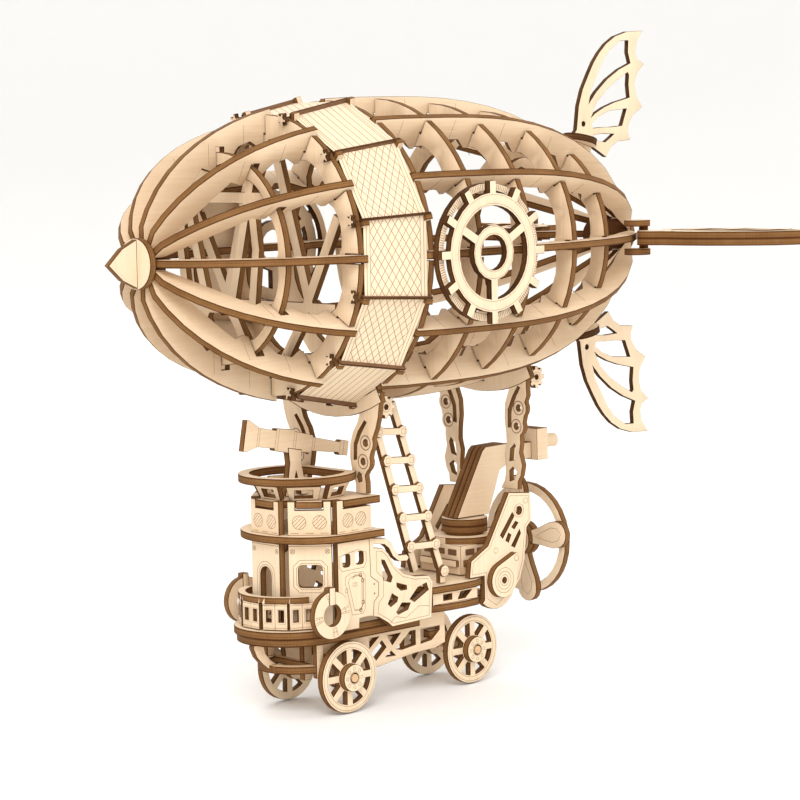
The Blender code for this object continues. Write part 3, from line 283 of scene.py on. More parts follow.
PALE, WARM = (0.80, 0.63, 0.44, 1.0), (0.62, 0.43, 0.265, 1.0)
ply_lengthwise = veneer("ply_grain_lengthwise", (LONG, FINE, FINE), PALE, WARM)
ply_upright = veneer("ply_grain_upright", (FINE, FINE, LONG), PALE, WARM)
edge_browned = cut_edge("cut_edge_browned", (0.60, 0.32, 0.12, 1.0), (0.080, 0.028, 0.007, 1.0), 0.42)
edge_scorched = cut_edge("cut_edge_scorched", (0.38, 0.175, 0.06, 1.0), (0.042, 0.016, 0.005, 1.0), 0.58)


def sheets_at(normal, *offsets, thickness=PLY, layers=1, through=(0, 0, 0)):
    """The planes of ply sheets in millimetres: normal, middle plane, half thickness, plies of sheet."""
    direction = Vector(normal).normalized()
    base = direction.dot(Vector(through))
    return [(direction, base + offset, thickness / 2, layers) for offset in offsets]


def bare(mesh, *materials):
    """A mesh without maps or its old materials, ready for its own."""
    mesh.materials.clear()
    for material in materials:
        mesh.materials.append(material)
    while mesh.uv_layers:
        mesh.uv_layers.remove(mesh.uv_layers[0])


def break_edges(piece, width, free):
    """Corners broken as with fine sandpaper; free lets the breaks meet on tight curves."""
    rounding = piece.modifiers.new("softened", "BEVEL")
    rounding.width = width * MM
    rounding.segments = 1
    rounding.limit_method = "ANGLE"
    rounding.angle_limit = BREAK_ANGLE
    rounding.use_clamp_overlap = rounding.loop_slide = not free
    rounding.material = 1
    bpy.ops.object.modifier_apply(modifier=rounding.name)


def laser_cut(node, body, sheets, face=ply_lengthwise, edge=edge_browned):
    """A finished copy of one sheet-cut piece: merged, pale on its flats, browned on its cuts."""
    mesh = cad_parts[node].data.copy()
    piece = bpy.data.objects.new(node + "_ply", mesh)
    bpy.context.scene.collection.objects.link(piece)
    bare(mesh, face, edge)
    bm = bmesh.new()
    bm.from_mesh(mesh)
    bmesh.ops.remove_doubles(bm, verts=bm.verts, dist=0.002 * MM)
    cut = bm.loops.layers.uv.new("cut")
    for polygon in bm.faces:
        points = [corner.co / MM for corner in polygon.verts]
        polygon.material_index = 1
        best, best_reach = None, 1e9
        for direction, offset, half, layers in sheets:
            away = [point.dot(direction) - offset for point in points]
            facing_it = abs(polygon.normal.dot(direction))
            if facing_it > 0.9 and all(abs(abs(d) - half) < ON_THE_SHEET for d in away):
                polygon.material_index = 0
            reach = max(abs(d) for d in away)
            if facing_it < 0.5 and reach < half + ON_THE_SHEET and half < best_reach:
                best, best_reach = (direction, offset, half, layers), half
        if best:
            direction, offset, half, layers = best
            along = polygon.normal.cross(direction)
            for loop in polygon.loops:
                point = loop.vert.co / MM
                depth = point.dot(direction) - offset + half
                loop[cut].uv = (point.dot(along), depth / (2 * half) * layers)
    for polygon in bm.faces:
        polygon.smooth = True
    bm.to_mesh(mesh)
    bm.free()
    bpy.ops.object.select_all(action="DESELECT")
    piece.select_set(True)
    bpy.context.view_layer.objects.active = piece
    break_edges(piece, EDGE_SOFTENING, free=True)
    bpy.ops.object.shade_smooth_by_angle(angle=SMOOTH_ANGLE)
    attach(piece, body)
    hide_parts(node)
    return piece


for number in range(RIBS):
    turn = math.radians(RIB_STEP * number)
    laser_cut(f"rib_{number:02d}", "hull",
              sheets_at((0, -math.sin(turn), -math.cos(turn)), 0.0, through=(0, 0, AXIS_Z)))

# The rings: seven hoops of ply across the hull, half-lapped with the ribs and scalloped inside.
# The first two carry a lattice, and the third and sixth run down as hangers with round eyelets.
RING_X = (-57.0, -42.4, -23.3, -7.4, 10.6, 28.3, 47.5)
for number, x in enumerate(RING_X):
    laser_cut(f"ring_{number + 1}", "hull", sheets_at(ALONG, x), face=ply_upright)

# The band: twelve thin panels of ply bent round the two front rings. Each is engraved with a net
# and a stitched border, and a scorched batten with a star clip covers every joint.
BAND_FRONT, BAND_AFT = (-41.2, 34.16), (-24.5, 37.57)
BAND_THICKNESS = 1.5
PANEL_GAP = 0.28
STAVE_PANELS = (2, 4)
NET_HALF_WIDTH = 7.6


def on_hull(x, radius, degrees):
    """A point about the hull's axis: 0 degrees to port, 90 up."""
    angle = math.radians(degrees)
    return Vector((x, -radius * math.cos(angle), AXIS_Z + radius * math.sin(angle))) * MM


net, net_in, net_out = open_group(
    "engraved_net",
    [("U", "Float", None), ("V", "Float", None), ("Spacing", "Float", 1.9),
     ("Line", "Float", 0.05), ("Slant", "Float", 1.0), ("Half Width", "Float", 8.5)],
    [("Mask", "Float")])
line_masks = []
for row, sign in enumerate((1.0, -1.0)):
    slanted = arith(net, "MULTIPLY", (-1100, 300 - 250 * row), socket_1=0.62 * sign)
    lean = arith(net, "MULTIPLY", (-950, 300 - 250 * row))
    both = arith(net, "ADD", (-800, 300 - 250 * row))
    cells = arith(net, "DIVIDE", (-650, 300 - 250 * row))
    place_in = arith(net, "FRACT", (-500, 300 - 250 * row))
    centred = arith(net, "SUBTRACT", (-350, 300 - 250 * row), socket_1=0.5)
    away = arith(net, "ABSOLUTE", (-200, 300 - 250 * row))
    thin = arith(net, "LESS_THAN", (-50, 300 - 250 * row))
    wire(net, (net_in, "V", slanted, 0), (slanted, 0, lean, 0), (net_in, "Slant", lean, 1),
         (lean, 0, both, 0), (net_in, "U", both, 1), (both, 0, cells, 0), (net_in, "Spacing", cells, 1),
         (cells, 0, place_in, 0), (place_in, 0, centred, 0), (centred, 0, away, 0), (away, 0, thin, 0),
         (net_in, "Line", thin, 1))
    line_masks.append(thin)
crossed = arith(net, "MAXIMUM", (150, 150))
side_way = arith(net, "ABSOLUTE", (-650, -300))
border = arith(net, "COMPARE", (-350, -300), socket_2=0.07)
border_out = arith(net, "COMPARE", (-350, -480), socket_2=0.07)
inset = arith(net, "SUBTRACT", (-650, -480), socket_1=0.9)
inside = arith(net, "LESS_THAN", (-100, -150))
kept = arith(net, "MULTIPLY", (300, 50))
borders = arith(net, "MAXIMUM", (150, -350))
drawn = arith(net, "MAXIMUM", (500, 0))
wire(net, (line_masks[0], 0, crossed, 0), (line_masks[1], 0, crossed, 1), (net_in, "U", side_way, 0),
     (side_way, 0, border, 0), (net_in, "Half Width", border, 1), (side_way, 0, border_out, 0),
     (net_in, "Half Width", inset, 0), (inset, 0, border_out, 1), (side_way, 0, inside, 0),
     (inset, 0, inside, 1), (crossed, 0, kept, 0), (inside, 0, kept, 1), (border, 0, borders, 0),
     (border_out, 0, borders, 1), (kept, 0, drawn, 0), (borders, 0, drawn, 1), (drawn, 0, net_out, "Mask"))

NET_BROWN = (0.36, 0.185, 0.08, 1.0)
BAND_PALE, BAND_WARM = (0.84, 0.70, 0.51, 1.0), (0.72, 0.55, 0.36, 1.0)


def netted(name, slant, spacing):
    """Band veneer with the net burnt into it, read from the panel's own map in millimetres."""
    material = veneer(name, (FINE, LONG, LONG), BAND_PALE, BAND_WARM)
    tree = material.node_tree
    shader = tree.nodes["Principled BSDF"]
    wood = next(n for n in tree.nodes if n.type == "GROUP")
    panel_map = add_node(tree, "ShaderNodeUVMap", (-1100, 500), uv_map="panel")
    parts = add_node(tree, "ShaderNodeSeparateXYZ", (-900, 500))
    lines = add_node(tree, "ShaderNodeGroup", (-600, 500), node_tree=net)
    lines.inputs["Slant"].default_value = slant
    lines.inputs["Spacing"].default_value = spacing
    lines.inputs["Half Width"].default_value = NET_HALF_WIDTH
    burnt = add_node(tree, "ShaderNodeMix", (-250, 300), data_type="RGBA")
    burnt.inputs["B"].default_value = NET_BROWN
    wire(tree, (panel_map, 0, parts, 0), (parts, 0, lines, "U"), (parts, 1, lines, "V"),
         (lines, "Mask", burnt, "Factor"), (wood, "Color", burnt, "A"),
         (burnt, "Result", shader, "Base Color"))
    return material


band_diamonds = netted("band_net_of_diamonds", 1.0, 1.9)
band_staves = netted("band_net_of_staves", 0.0, 1.75)
for number in range(RIBS):
    degrees = float(RIB_STEP) * number
    bpy.ops.object.select_all(action="DESELECT")
    bpy.ops.mesh.primitive_plane_add(size=2 * MM, location=(0, 0, 0))
    panel = bpy.context.object
    panel.name = f"band_panel_{number:02d}"
    mesh = panel.data
    half = RIB_STEP / 2 - PANEL_GAP
    corners = {(-1, -1): on_hull(*BAND_FRONT, degrees - half), (1, -1): on_hull(*BAND_AFT, degrees - half),
               (-1, 1): on_hull(*BAND_FRONT, degrees + half), (1, 1): on_hull(*BAND_AFT, degrees + half)}
    panel_uv = {}
    middle = sum(corners.values(), Vector()) / 4
    side_of_panel = (corners[(-1, 1)] - corners[(-1, -1)]).normalized()
    for vertex in mesh.vertices:
        key = (1 if vertex.co.x > 0 else -1, 1 if vertex.co.y > 0 else -1)
        vertex.co = corners[key]
        panel_uv[vertex.index] = ((corners[key].x - middle.x) / MM,
                                  (corners[key] - middle).dot(side_of_panel) / MM)
    bare(mesh, band_staves if number % 6 in STAVE_PANELS else band_diamonds, edge_scorched, ply_lengthwise)
    for map_name in ("panel", "cut"):
        layer = mesh.uv_layers.new(name=map_name)
        for loop in mesh.loops:
            layer.data[loop.index].uv = panel_uv[loop.vertex_index]
    bpy.ops.object.mode_set(mode="EDIT")
    bpy.ops.mesh.select_all(action="SELECT")
    bpy.ops.mesh.normals_make_consistent(inside=False)
    bpy.ops.object.mode_set(mode="OBJECT")
    outward = on_hull(0, 1, degrees) - on_hull(0, 0, degrees)
    if mesh.polygons[0].normal.dot(outward) < 0:
        bpy.ops.object.mode_set(mode="EDIT")
        bpy.ops.mesh.select_all(action="SELECT")
        bpy.ops.mesh.flip_normals()
        bpy.ops.object.mode_set(mode="OBJECT")
    wall = panel.modifiers.new("ply", "SOLIDIFY")
    wall.thickness = BAND_THICKNESS * MM
    wall.offset = -1.0
    wall.material_offset_rim = 1
    wall.material_offset = 2
    bpy.ops.object.modifier_apply(modifier=wall.name)
    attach(panel, "hull")
    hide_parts("band")


def outlined(name, points, matrix, thickness, body, face, edge, soften=0.06):
    """A small laser-cut plate from its outline: filled, given its thickness, put in place."""
    bpy.ops.object.select_all(action="DESELECT")
    bpy.ops.mesh.primitive_circle_add(vertices=len(points), radius=1, fill_type="NGON")
    made = bpy.context.object
    made.name = name
    mesh = made.data
    for vertex, (u, v) in zip(mesh.vertices, points):
        vertex.co = Vector((u, v, -thickness / 2)) * MM
    bpy.ops.object.mode_set(mode="EDIT")
    bpy.ops.mesh.select_all(action="SELECT")
    bpy.ops.mesh.extrude_region_move(TRANSFORM_OT_translate={"value": (0, 0, thickness * MM)})
    bpy.ops.mesh.select_all(action="SELECT")
    bpy.ops.mesh.normals_make_consistent(inside=False)
    bpy.ops.object.mode_set(mode="OBJECT")
    bare(mesh, face, edge)
    cut = mesh.uv_layers.new(name="cut")
    for polygon in mesh.polygons:
        polygon.material_index = 0 if abs(polygon.normal.z) > 0.9 else 1
        along = Vector((-polygon.normal.y, polygon.normal.x, 0))
        for index in polygon.loop_indices:
            point = mesh.vertices[mesh.loops[index].vertex_index].co / MM
            cut.data[index].uv = (point.dot(along), point.z / thickness + 0.5)
    if soften:
        break_edges(made, soften, free=False)
    made.matrix_world = matrix
    bpy.ops.object.transform_apply(location=True, rotation=True, scale=True)
    bpy.ops.object.shade_smooth_by_angle(angle=SMOOTH_ANGLE)
    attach(made, body)
    return made


def axes(x_axis, y_axis, place):
    """A placing matrix from the directions of a sheet's own X and Y and its middle in millimetres."""
    u = Vector(x_axis).normalized()
    v = Vector(y_axis).normalized()
    made = Matrix((u, v, u.cross(v))).transposed().to_4x4()
    made.translation = Vector(place) * MM
    return made


def polar(radius, angle, centre=(0, 0)):
    """A point at a distance and an angle from a centre."""
    return (centre[0] + radius * math.cos(angle), centre[1] + radius * math.sin(angle))


# Dark scorched skin of the band battens. The engine's vent plates use it too, and there its dark is painted
# shade of open slots.
batten_char_and_vent_shade = veneer("char_skin_and_vent_shade", (150.0, 900.0, 900.0), (0.20, 0.10, 0.045, 1.0),
                    (0.09, 0.04, 0.018, 1.0), 0.6)
star = [polar(radius, 2 * math.pi * lobe / 5 + turn) for lobe in range(5)
        for turn, radius in ((-0.34, 0.85), (-0.20, 1.55), (0.20, 1.55), (0.34, 0.85))]
block = [(-0.9, -1.2), (0.75, -1.2), (0.75, 1.2), (-0.9, 1.2)]
for number in range(RIBS):
    degrees = RIB_STEP / 2 + RIB_STEP * number
    front = on_hull(-42.0, BAND_FRONT[1] - 0.15, degrees) / MM
    aft = on_hull(-23.4, BAND_AFT[1] + 0.2, degrees) / MM
    along = (aft - front).normalized()
    outward = (on_hull(0, 1, degrees) - on_hull(0, 0, degrees)).normalized()
    outward = (outward - along * outward.dot(along)).normalized()
    length = (aft - front).length
    batten = [(0.0, -1.0), (length, -1.0), (length, 0.75), (length - 0.5, 1.05), (0.5, 1.05), (0.0, 0.75)]
    outlined(f"band_batten_{number:02d}", batten, axes(along, outward, front), 0.55, "hull",
             batten_char_and_vent_shade, edge_scorched)
    around = along.cross(outward)
    for end, spot in (("front", front + (along + around) * PLY_FACE),
                      ("aft", aft + (around - along) * PLY_FACE)):
        outlined(f"band_knob_{end}_{number:02d}", block, axes(along, outward, spot), 1.25, "hull",
                 ply_lengthwise, edge_browned)
    spot = on_hull(-44.05, BAND_FRONT[1] - 0.6, degrees) / MM
    outlined(f"band_star_{number:02d}", star, axes(around, outward, spot), 1.3, "hull",
             ply_upright, edge_scorched)

# The nose: a thick disc over the ends of the ribs with an upright kite-shaped fin in front, and
# a smaller disc at the tail. Both are cut from the same sheet and pushed on to a peg.
laser_cut("nose_cap", "hull",
          sheets_at(ALONG, -81.2) + sheets_at(ACROSS, 0.0), face=ply_upright)
laser_cut("tail_cap", "hull", sheets_at(ALONG, 79.9, thickness=1.6), face=ply_upright)

# The tail wings: four pierced bat wings on necks that go in between the ribs. The upright pair is
# a single thin sheet with a round collar, and the level pair is two sheets between small discs.
WING_PALE, WING_WARM = (0.82, 0.66, 0.47, 1.0), (0.68, 0.49, 0.31, 1.0)
wing_upright = veneer("wing_grain_upright", (FINE, FINE, LONG), WING_PALE, WING_WARM)
wing_athwart = veneer("wing_grain_athwart", (FINE, LONG, FINE), WING_PALE, WING_WARM)
for name, side in (("wing_top", 1), ("wing_bottom", -1)):
    collar = sheets_at((0.2588, 0, 0.9659 * side), 0.0, through=(65.3, 0, AXIS_Z + 25.4 * side))
    laser_cut(name, "hull", sheets_at(ACROSS, 0.0, thickness=1.4) + collar,
              face=wing_upright, edge=edge_scorched)
for name in ("wing_port", "wing_starboard"):
    laser_cut(name, "hull",
              sheets_at(UP, AXIS_Z, thickness=3.6, layers=2) +
              sheets_at(UP, AXIS_Z - 3.7, AXIS_Z + 3.7, thickness=1.6), face=wing_athwart)

# The medallions: a ship's wheel with twelve handles in front of a thin ring, on each flank, of
# pale ply. Its round centre is left open.
SIDES = (("port", -1), ("starboard", 1))
MEDALLION_RING_Y, MEDALLION_WHEEL_Y = 38.7, 40.4
for label, side in SIDES:
    laser_cut(f"medallion_{label}", "hull",
              sheets_at((0, side, 0), MEDALLION_RING_Y, MEDALLION_WHEEL_Y), face=wing_upright,
              edge=edge_scorched)

# Cogs: small toothed discs beside the hangers, cut from the same ply. Each is a fixed piece, on
# a tab of the hanger.
COG_FRONT_Y, COG_REAR_Y = 14.2, 12.0
for end, y in (("front", COG_FRONT_Y), ("rear", COG_REAR_Y)):
    for label, side in SIDES:
        laser_cut(f"cog_{end}_{label}", "hull", sheets_at(ACROSS, side * y),
                  face=wing_upright)

# The wheelhouse: upright ply panels round the bow, a belt between the two storeys, and notched
# panels above it that hold the look-out's floor.
TOWER_X = -29.9
SIDE_Y = 14.1


def panel_sheets(x, *panels, thickness=PLY):
    """Upright panels round a bow: degrees from straight ahead, positive to port, and distance."""
    found = []
    for degrees, distance in panels:
        turn = math.radians(degrees)
        found += sheets_at((-math.cos(turn), -math.sin(turn), 0), distance, thickness=thickness,
                           through=(x, 0, 0))
    return found


TOWER_PANELS = ((0, 14.7), (45, 13.9), (-45, 13.9))
laser_cut("tower_lower", "hull",
          panel_sheets(TOWER_X, *TOWER_PANELS) + sheets_at(UP, 22.8, thickness=1.4), face=wing_upright)
laser_cut("tower_upper", "hull",
          panel_sheets(TOWER_X, *TOWER_PANELS) + sheets_at(ACROSS, -SIDE_Y, SIDE_Y) + sheets_at(UP, 43.3),
          face=ply_upright)

# The look-out: a floor on the notched panels, five slanted window panels and a broad top hoop,
# all of ply and slotted together.
nest_sheets = sheets_at(UP, 51.4) + sheets_at(UP, 57.15, thickness=1.9)
for degrees in (0, 52, -52, 104, -104):
    turn, lean = math.radians(degrees), math.radians(24)
    outward = Vector((-math.cos(turn), -math.sin(turn), 0))
    nest_sheets += sheets_at(outward * math.cos(lean) - Vector((0, 0, math.sin(lean))), 0.0, thickness=1.4,
                             through=Vector((-33.6, 0, 52.2)) + outward * 9.0)
laser_cut("crows_nest", "hull", nest_sheets, face=ply_upright)

# The balcony: a horseshoe rail of ply on five little window panels round the foot of the
# wheelhouse, which stand in slots of the deck.
RAIL_X = -38.3
RAIL_PANELS = tuple((degrees, 11.5) for degrees in (0, 33, -33, 64, -64))
laser_cut("balcony_rail", "hull",
          panel_sheets(RAIL_X, *RAIL_PANELS, thickness=1.3) + sheets_at(UP, 29.05, thickness=1.5),
          face=ply_upright)

# The main deck: two sheets of ply with a round bow, glued flat on each other, the upper one a
# little larger.
laser_cut("deck", "hull", sheets_at(UP, 20.775, 18.925, thickness=1.85))

# The gondola's sides: one sheet of pale ply each, with the cabin windows ahead and a pierced
# lattice aft, slotted on to the edges of the deck.
for label, side in SIDES:
    laser_cut(f"side_plate_{label}", "hull", sheets_at(ACROSS, side * SIDE_Y),
              face=wing_upright)

# The stern deck: two floor sheets of ply, held apart by pierced strips along the sides and by
# a block between them.
laser_cut("stern_deck", "hull",
          sheets_at(UP, 26.3, 21.6) + sheets_at(ACROSS, -12.2, 12.2) +
          sheets_at(UP, 23.95, thickness=3.1, layers=2))

# The engine's side plates: slanted sheets of ply with slots, and a drop-shaped boss glued on
# outside.
STERN_PLATE_Y, BOSS_Y = 12.0, 13.7
for label, side in SIDES:
    laser_cut(f"stern_plate_{label}", "hull", sheets_at((0, side, 0), STERN_PLATE_Y, BOSS_Y),
              face=wing_upright)

# The running gear's frames: two pierced trusses under the deck with arms for the rear axle, and
# the keel pieces under the bow.
laser_cut("chassis", "hull",
          sheets_at(ACROSS, -8.0, 8.0, -5.0, 5.0) + sheets_at(UP, 17.0, thickness=1.2) +
          sheets_at(UP, 14.2))
laser_cut("bow_keel", "hull",
          sheets_at(ACROSS, 0.0, -2.4) + sheets_at(ACROSS, -9.2, 9.2, thickness=1.4) +
          sheets_at(UP, 11.4) + sheets_at(UP, 11.4, thickness=1.5))

# Small fittings of ply: a flat telescope slotted into a forked stand, a ladder of two stringers
# with rungs glued on that widen at their ends, and a pierced lifebuoy with a clip on each flank.
laser_cut("telescope", "hull",
          sheets_at(ACROSS, 0.0) + sheets_at(ACROSS, 0.0, thickness=2.0))
laser_cut("ladder", "hull",
          sheets_at(ACROSS, -11.4, thickness=1.4) + sheets_at(ACROSS, -12.3, thickness=1.2),
          face=wing_upright)
LIFEBUOY_Y = 16.2
for label, side in SIDES:
    y = side * LIFEBUOY_Y
    laser_cut(f"lifebuoy_{label}", "hull",
              sheets_at(ACROSS, y) + sheets_at(ACROSS, y, thickness=2.0), face=wing_upright)

# The engine: a box of ply panels on the stern deck under stacked discs, with a funnel of three
# sheets bent aft over it. The vents in its sides are thin dark plates laid on the surface, and their
# dark is painted shade in place of open slots. The vents and the sills below them are guesses.
laser_cut("engine", "hull",
          sheets_at(ALONG, 19.2, thickness=14.4) + sheets_at(ACROSS, 0.0, thickness=14.8) +
          sheets_at(UP, 31.2, thickness=7.4, layers=4) + sheets_at(UP, 35.6) +
          sheets_at(UP, 36.8, thickness=1.2) + sheets_at(UP, 39.0, thickness=3.6, layers=2))
funnel_ply = laser_cut("funnel", "hull",
                       sheets_at(ACROSS, 0.0, thickness=5.4, layers=3) +
                       sheets_at(ACROSS, 0.0, thickness=3.6, layers=2) +
                       sheets_at(ACROSS, 0.0, thickness=8.0, layers=4) +
                       sheets_at(ALONG, 45.4, thickness=4.0))
# The peg behind the head is plain wood all round
PEG_X = 47.5
for polygon in funnel_ply.data.polygons:
    if polygon.center.x > PEG_X * MM:
        polygon.material_index = 0

VENT_Z, SILL_Z, SILL_SINK = 33.1, 30.4, 0.45
# Each vent is a thin dark plate on the box's surface: a patch of painted shade where an open slot would be.
vent_shade_patch = [(-1.5, -0.75), (1.5, -0.75), (1.5, 0.75), (-1.5, 0.75)]
for wall_name, x, y, along, reach in (("port", 19.2, -7.4, ALONG, 5.6), ("starboard", 19.2, 7.4, -ALONG, 5.6),
                                      ("bow", 12.0, 0.0, -ACROSS, 6.0), ("stern", 26.4, 0.0, ACROSS, 6.0)):
    for number, shift in enumerate((-reach + 1.6, 0.0, reach - 1.6)):
        outlined(f"engine_vent_shade_{wall_name}_{number}", vent_shade_patch,
                 axes(along, UP, Vector((x, y, VENT_Z)) + along * shift), 0.24, "hull", batten_char_and_vent_shade,
                 edge_scorched, soften=0)
    if wall_name != "stern":
        sill = [(-reach - 0.7, -0.8), (reach + 0.7, -0.8), (reach + 0.7, 0.8), (-reach - 0.7, 0.8)]
        outlined(f"engine_sill_{wall_name}", sill,
                 axes(along, UP, Vector((x, y, SILL_Z)) + along.cross(UP) * SILL_SINK), 1.0, "hull",
                 wing_upright, edge_browned)

# The propeller: four paddles and a thin hoop on a round hub, turning with its dowel shaft.
laser_cut("propeller", "propeller_set",
          sheets_at(ALONG, 41.7, 43.4) + sheets_at(ALONG, 41.5, thickness=4.4, layers=2), face=wing_upright)

# The wheels: eight-spoke discs of pale ply with a thick hub cap, glued on round dowels that run
# through the frames. The propeller's dowel is the same wood.
DOWEL_PALE, DOWEL_WARM = (0.72, 0.48, 0.27, 1.0), (0.50, 0.29, 0.14, 1.0)
dowel_athwart = veneer("dowel_grain_athwart", (FINE, LONG, FINE), DOWEL_PALE, DOWEL_WARM)
dowel_lengthwise = veneer("dowel_grain_lengthwise", (LONG, FINE, FINE), DOWEL_PALE, DOWEL_WARM)
WHEEL_RADIUS = 8.69
PAIRS = (("front", -30.2, 12.2), ("rear", 14.0, 9.0))
for label, axle_x, face_y in PAIRS:
    for side_name, side in SIDES:
        laser_cut(f"wheel_{label}_{side_name}", f"{label}_wheels",
                  sheets_at((0, side, 0), face_y - PLY_FACE, face_y + PLY_FACE), face=wing_upright)
for node, wood in (("axle_front", dowel_athwart), ("axle_rear", dowel_athwart),
                   ("propeller_shaft", dowel_lengthwise)):
    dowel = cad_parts[node]
    dowel.data.materials.clear()
    dowel.data.materials.append(wood)

# Engraved lines: the laser marks the sheets with fine brown lines before it cuts them out. Each is
# a hair-thin burnt bead half sunk in the face, so it keeps its width from every side.
LINE_WIDTH = 0.24
engraved = veneer("engraved_line", (300.0, 300.0, 300.0), (0.20, 0.09, 0.037, 1.0),
                  (0.085, 0.036, 0.016, 1.0), 0.4)


def ring_line(centre, radius, count=20):
    """A closed engraved circle as points, its first point repeated at the end."""
    return [polar(radius, 2 * math.pi * k / count, centre) for k in range(count + 1)]


def swung(u, v, angle, about):
    """A point turned by an angle and moved to a centre."""
    return (about[0] + u * math.cos(angle) - v * math.sin(angle),
            about[1] + u * math.sin(angle) + v * math.cos(angle))


def box_line(u0, v0, u1, v1, corner=0.0):
    """A closed engraved rectangle, its corners cut when a size is given."""
    if not corner:
        return [(u0, v0), (u1, v0), (u1, v1), (u0, v1), (u0, v0)]
    c = corner
    return [(u0 + c, v0), (u1 - c, v0), (u1, v0 + c), (u1, v1 - c), (u1 - c, v1), (u0 + c, v1), (u0, v1 - c),
            (u0, v0 + c), (u0 + c, v0)]


def engrave(name, body, marks, width=LINE_WIDTH):
    """One mesh of engraved lines from pairs of a placing matrix and its flat lines."""
    curve = bpy.data.curves.new(name, "CURVE")
    curve.dimensions = "3D"
    curve.bevel_depth = width / 2 * MM
    curve.bevel_resolution = 0
    curve.use_fill_caps = True
    for matrix, lines in marks:
        for line in lines:
            closed = len(line) > 3 and (Vector(line[0]) - Vector(line[-1])).length < 1e-6
            points = line[:-1] if closed else line
            spline = curve.splines.new("POLY")
            spline.points.add(len(points) - 1)
            spline.use_cyclic_u = closed
            for point, (u, v) in zip(spline.points, points):
                place = matrix @ Vector((u * MM, v * MM, -width * 0.28 * MM))
                point.co = (place.x, place.y, place.z, 1.0)
    made = bpy.data.objects.new(name, curve)
    bpy.context.scene.collection.objects.link(made)
    bpy.ops.object.select_all(action="DESELECT")
    made.select_set(True)
    bpy.context.view_layer.objects.active = made
    bpy.ops.object.convert(target="MESH")
    made = bpy.context.object
    made.data.materials.clear()
    made.data.materials.append(engraved)
    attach(made, body)
    return made


def on_flank(y, side=-1):
    """Placing matrix of a face of the port or starboard flank, drawn in X and Z."""
    made = Matrix(((1, 0, 0), (0, 0, side), (0, 1, 0))).to_4x4()
    made.translation = Vector((0, y, 0)) * MM
    return made


def on_bow(x, distance, degrees, z):
    """Placing matrix of an upright panel round the bow, drawn from its foot's middle."""
    turn = math.radians(degrees)
    outward = Vector((-math.cos(turn), -math.sin(turn), 0))
    made = Matrix((UP.cross(outward), UP, outward)).transposed().to_4x4()
    made.translation = (Vector((x, 0, z)) + outward * distance) * MM
    return made


def inset_line(points, distance):
    """A closed line that runs inside an outline at an even distance."""
    area = sum(a[0] * b[1] - b[0] * a[1] for a, b in zip(points, points[1:] + points[:1]))
    turn = 1 if area > 0 else -1
    found = []
    for before, here, after in zip(points[-1:] + points[:-1], points, points[1:] + points[:1]):
        a = (Vector(here) - Vector(before)).normalized()
        b = (Vector(after) - Vector(here)).normalized()
        normal_a, normal_b = Vector((-a.y, a.x)) * turn, Vector((-b.y, b.x)) * turn
        middle = (normal_a + normal_b)
        if middle.length < 0.3:
            continue
        middle.normalize()
        reach = min(distance / max(middle.dot(normal_a), 0.35), 2.2 * distance)
        found.append(tuple(Vector(here) + middle * reach))
    return found + found[:1]


# Marks on the wheelhouse: a double line round the doorway and the square windows, crossed rivets
# in the upper corners, hatched portholes in the upper storey and dashes at its foot.
DIAGONAL = 0.7071


def rivet(centre, radius=0.55):
    """A small circle with a cross in it."""
    u, v = centre
    d = radius * 0.7
    return [ring_line(centre, radius, 12), [(u - d, v - d), (u + d, v + d)], [(u - d, v + d), (u + d, v - d)]]


def porthole(centre, radius=1.65):
    """A circle with four slanted hatch lines in it."""
    u, v = centre
    d = DIAGONAL
    lines = [ring_line(centre, radius, 20)]
    for shift in (-1.0, -0.35, 0.35, 1.0):
        reach = math.sqrt(max(radius ** 2 - shift ** 2, 0)) * 0.98
        lines.append([(u + d * shift - d * reach, v - d * shift - d * reach),
                      (u + d * shift + d * reach, v - d * shift + d * reach)])
    return lines


def doorway(half, foot, top):
    """An upright opening with a round head, from one foot to the other."""
    arch = [polar(half, math.radians(a), (0, top)) for a in range(180, -1, -15)]
    return [(-half, foot)] + arch + [(half, foot)]


DECK_TOP, BELT_TOP = 22.0, 44.2
storey_marks, upper_marks = [], []
for degrees, distance in TOWER_PANELS:
    lower = on_bow(TOWER_X, distance + PLY_FACE, degrees, DECK_TOP)
    if degrees == 0:
        openings = [doorway(2.55, 0.9, 12.2), doorway(3.3, 0.9, 12.2)]
    else:
        openings = [box_line(-3.35, 9.15, 3.35, 15.45, 1.2), box_line(-4.1, 8.4, 4.1, 16.2, 1.5)]
    storey_marks.append((lower, openings + rivet((-4.2, 18.3)) + rivet((4.2, 18.3)) +
                         [[(-5.1, 19.6), (5.1, 19.6)]]))
    upper = on_bow(TOWER_X, distance + PLY_FACE, degrees, BELT_TOP)
    upper_marks.append((upper, porthole((-2.45, 3.1)) + porthole((2.45, 3.1)) +
                        [[(-4.6, 0.5), (-2.6, 0.5)], [(-1.0, 0.5), (1.0, 0.5)], [(2.6, 0.5), (4.6, 0.5)]]))
engrave("tower_lower_marks", "hull", storey_marks)
FLANK_FACE = SIDE_Y + PLY_FACE
for label, side in SIDES:
    dashes = [[(u0, 44.7), (u1, 44.7)] for u0, u1 in ((-34.9, -33.0), (-31.0, -29.0), (-27.0, -25.2))]
    upper_marks.append((on_flank(side * FLANK_FACE, side),
                        porthole((-32.1, 47.3)) + porthole((-28.0, 47.3)) + dashes))
engrave("tower_upper_marks", "hull", upper_marks)
rail_lines = [box_line(-2.55, 1.5, -0.55, 5.1), box_line(0.55, 1.5, 2.55, 5.1), [(0, 0.1), (0, 6.2)],
              [(-3.0, 0.5), (3.0, 0.5)], [(-3.0, 5.9), (3.0, 5.9)]]
RAIL_FACE = 0.65
engrave("balcony_marks", "hull",
        [(on_bow(RAIL_X, distance + RAIL_FACE, degrees, DECK_TOP), rail_lines)
         for degrees, distance in RAIL_PANELS], width=0.18)

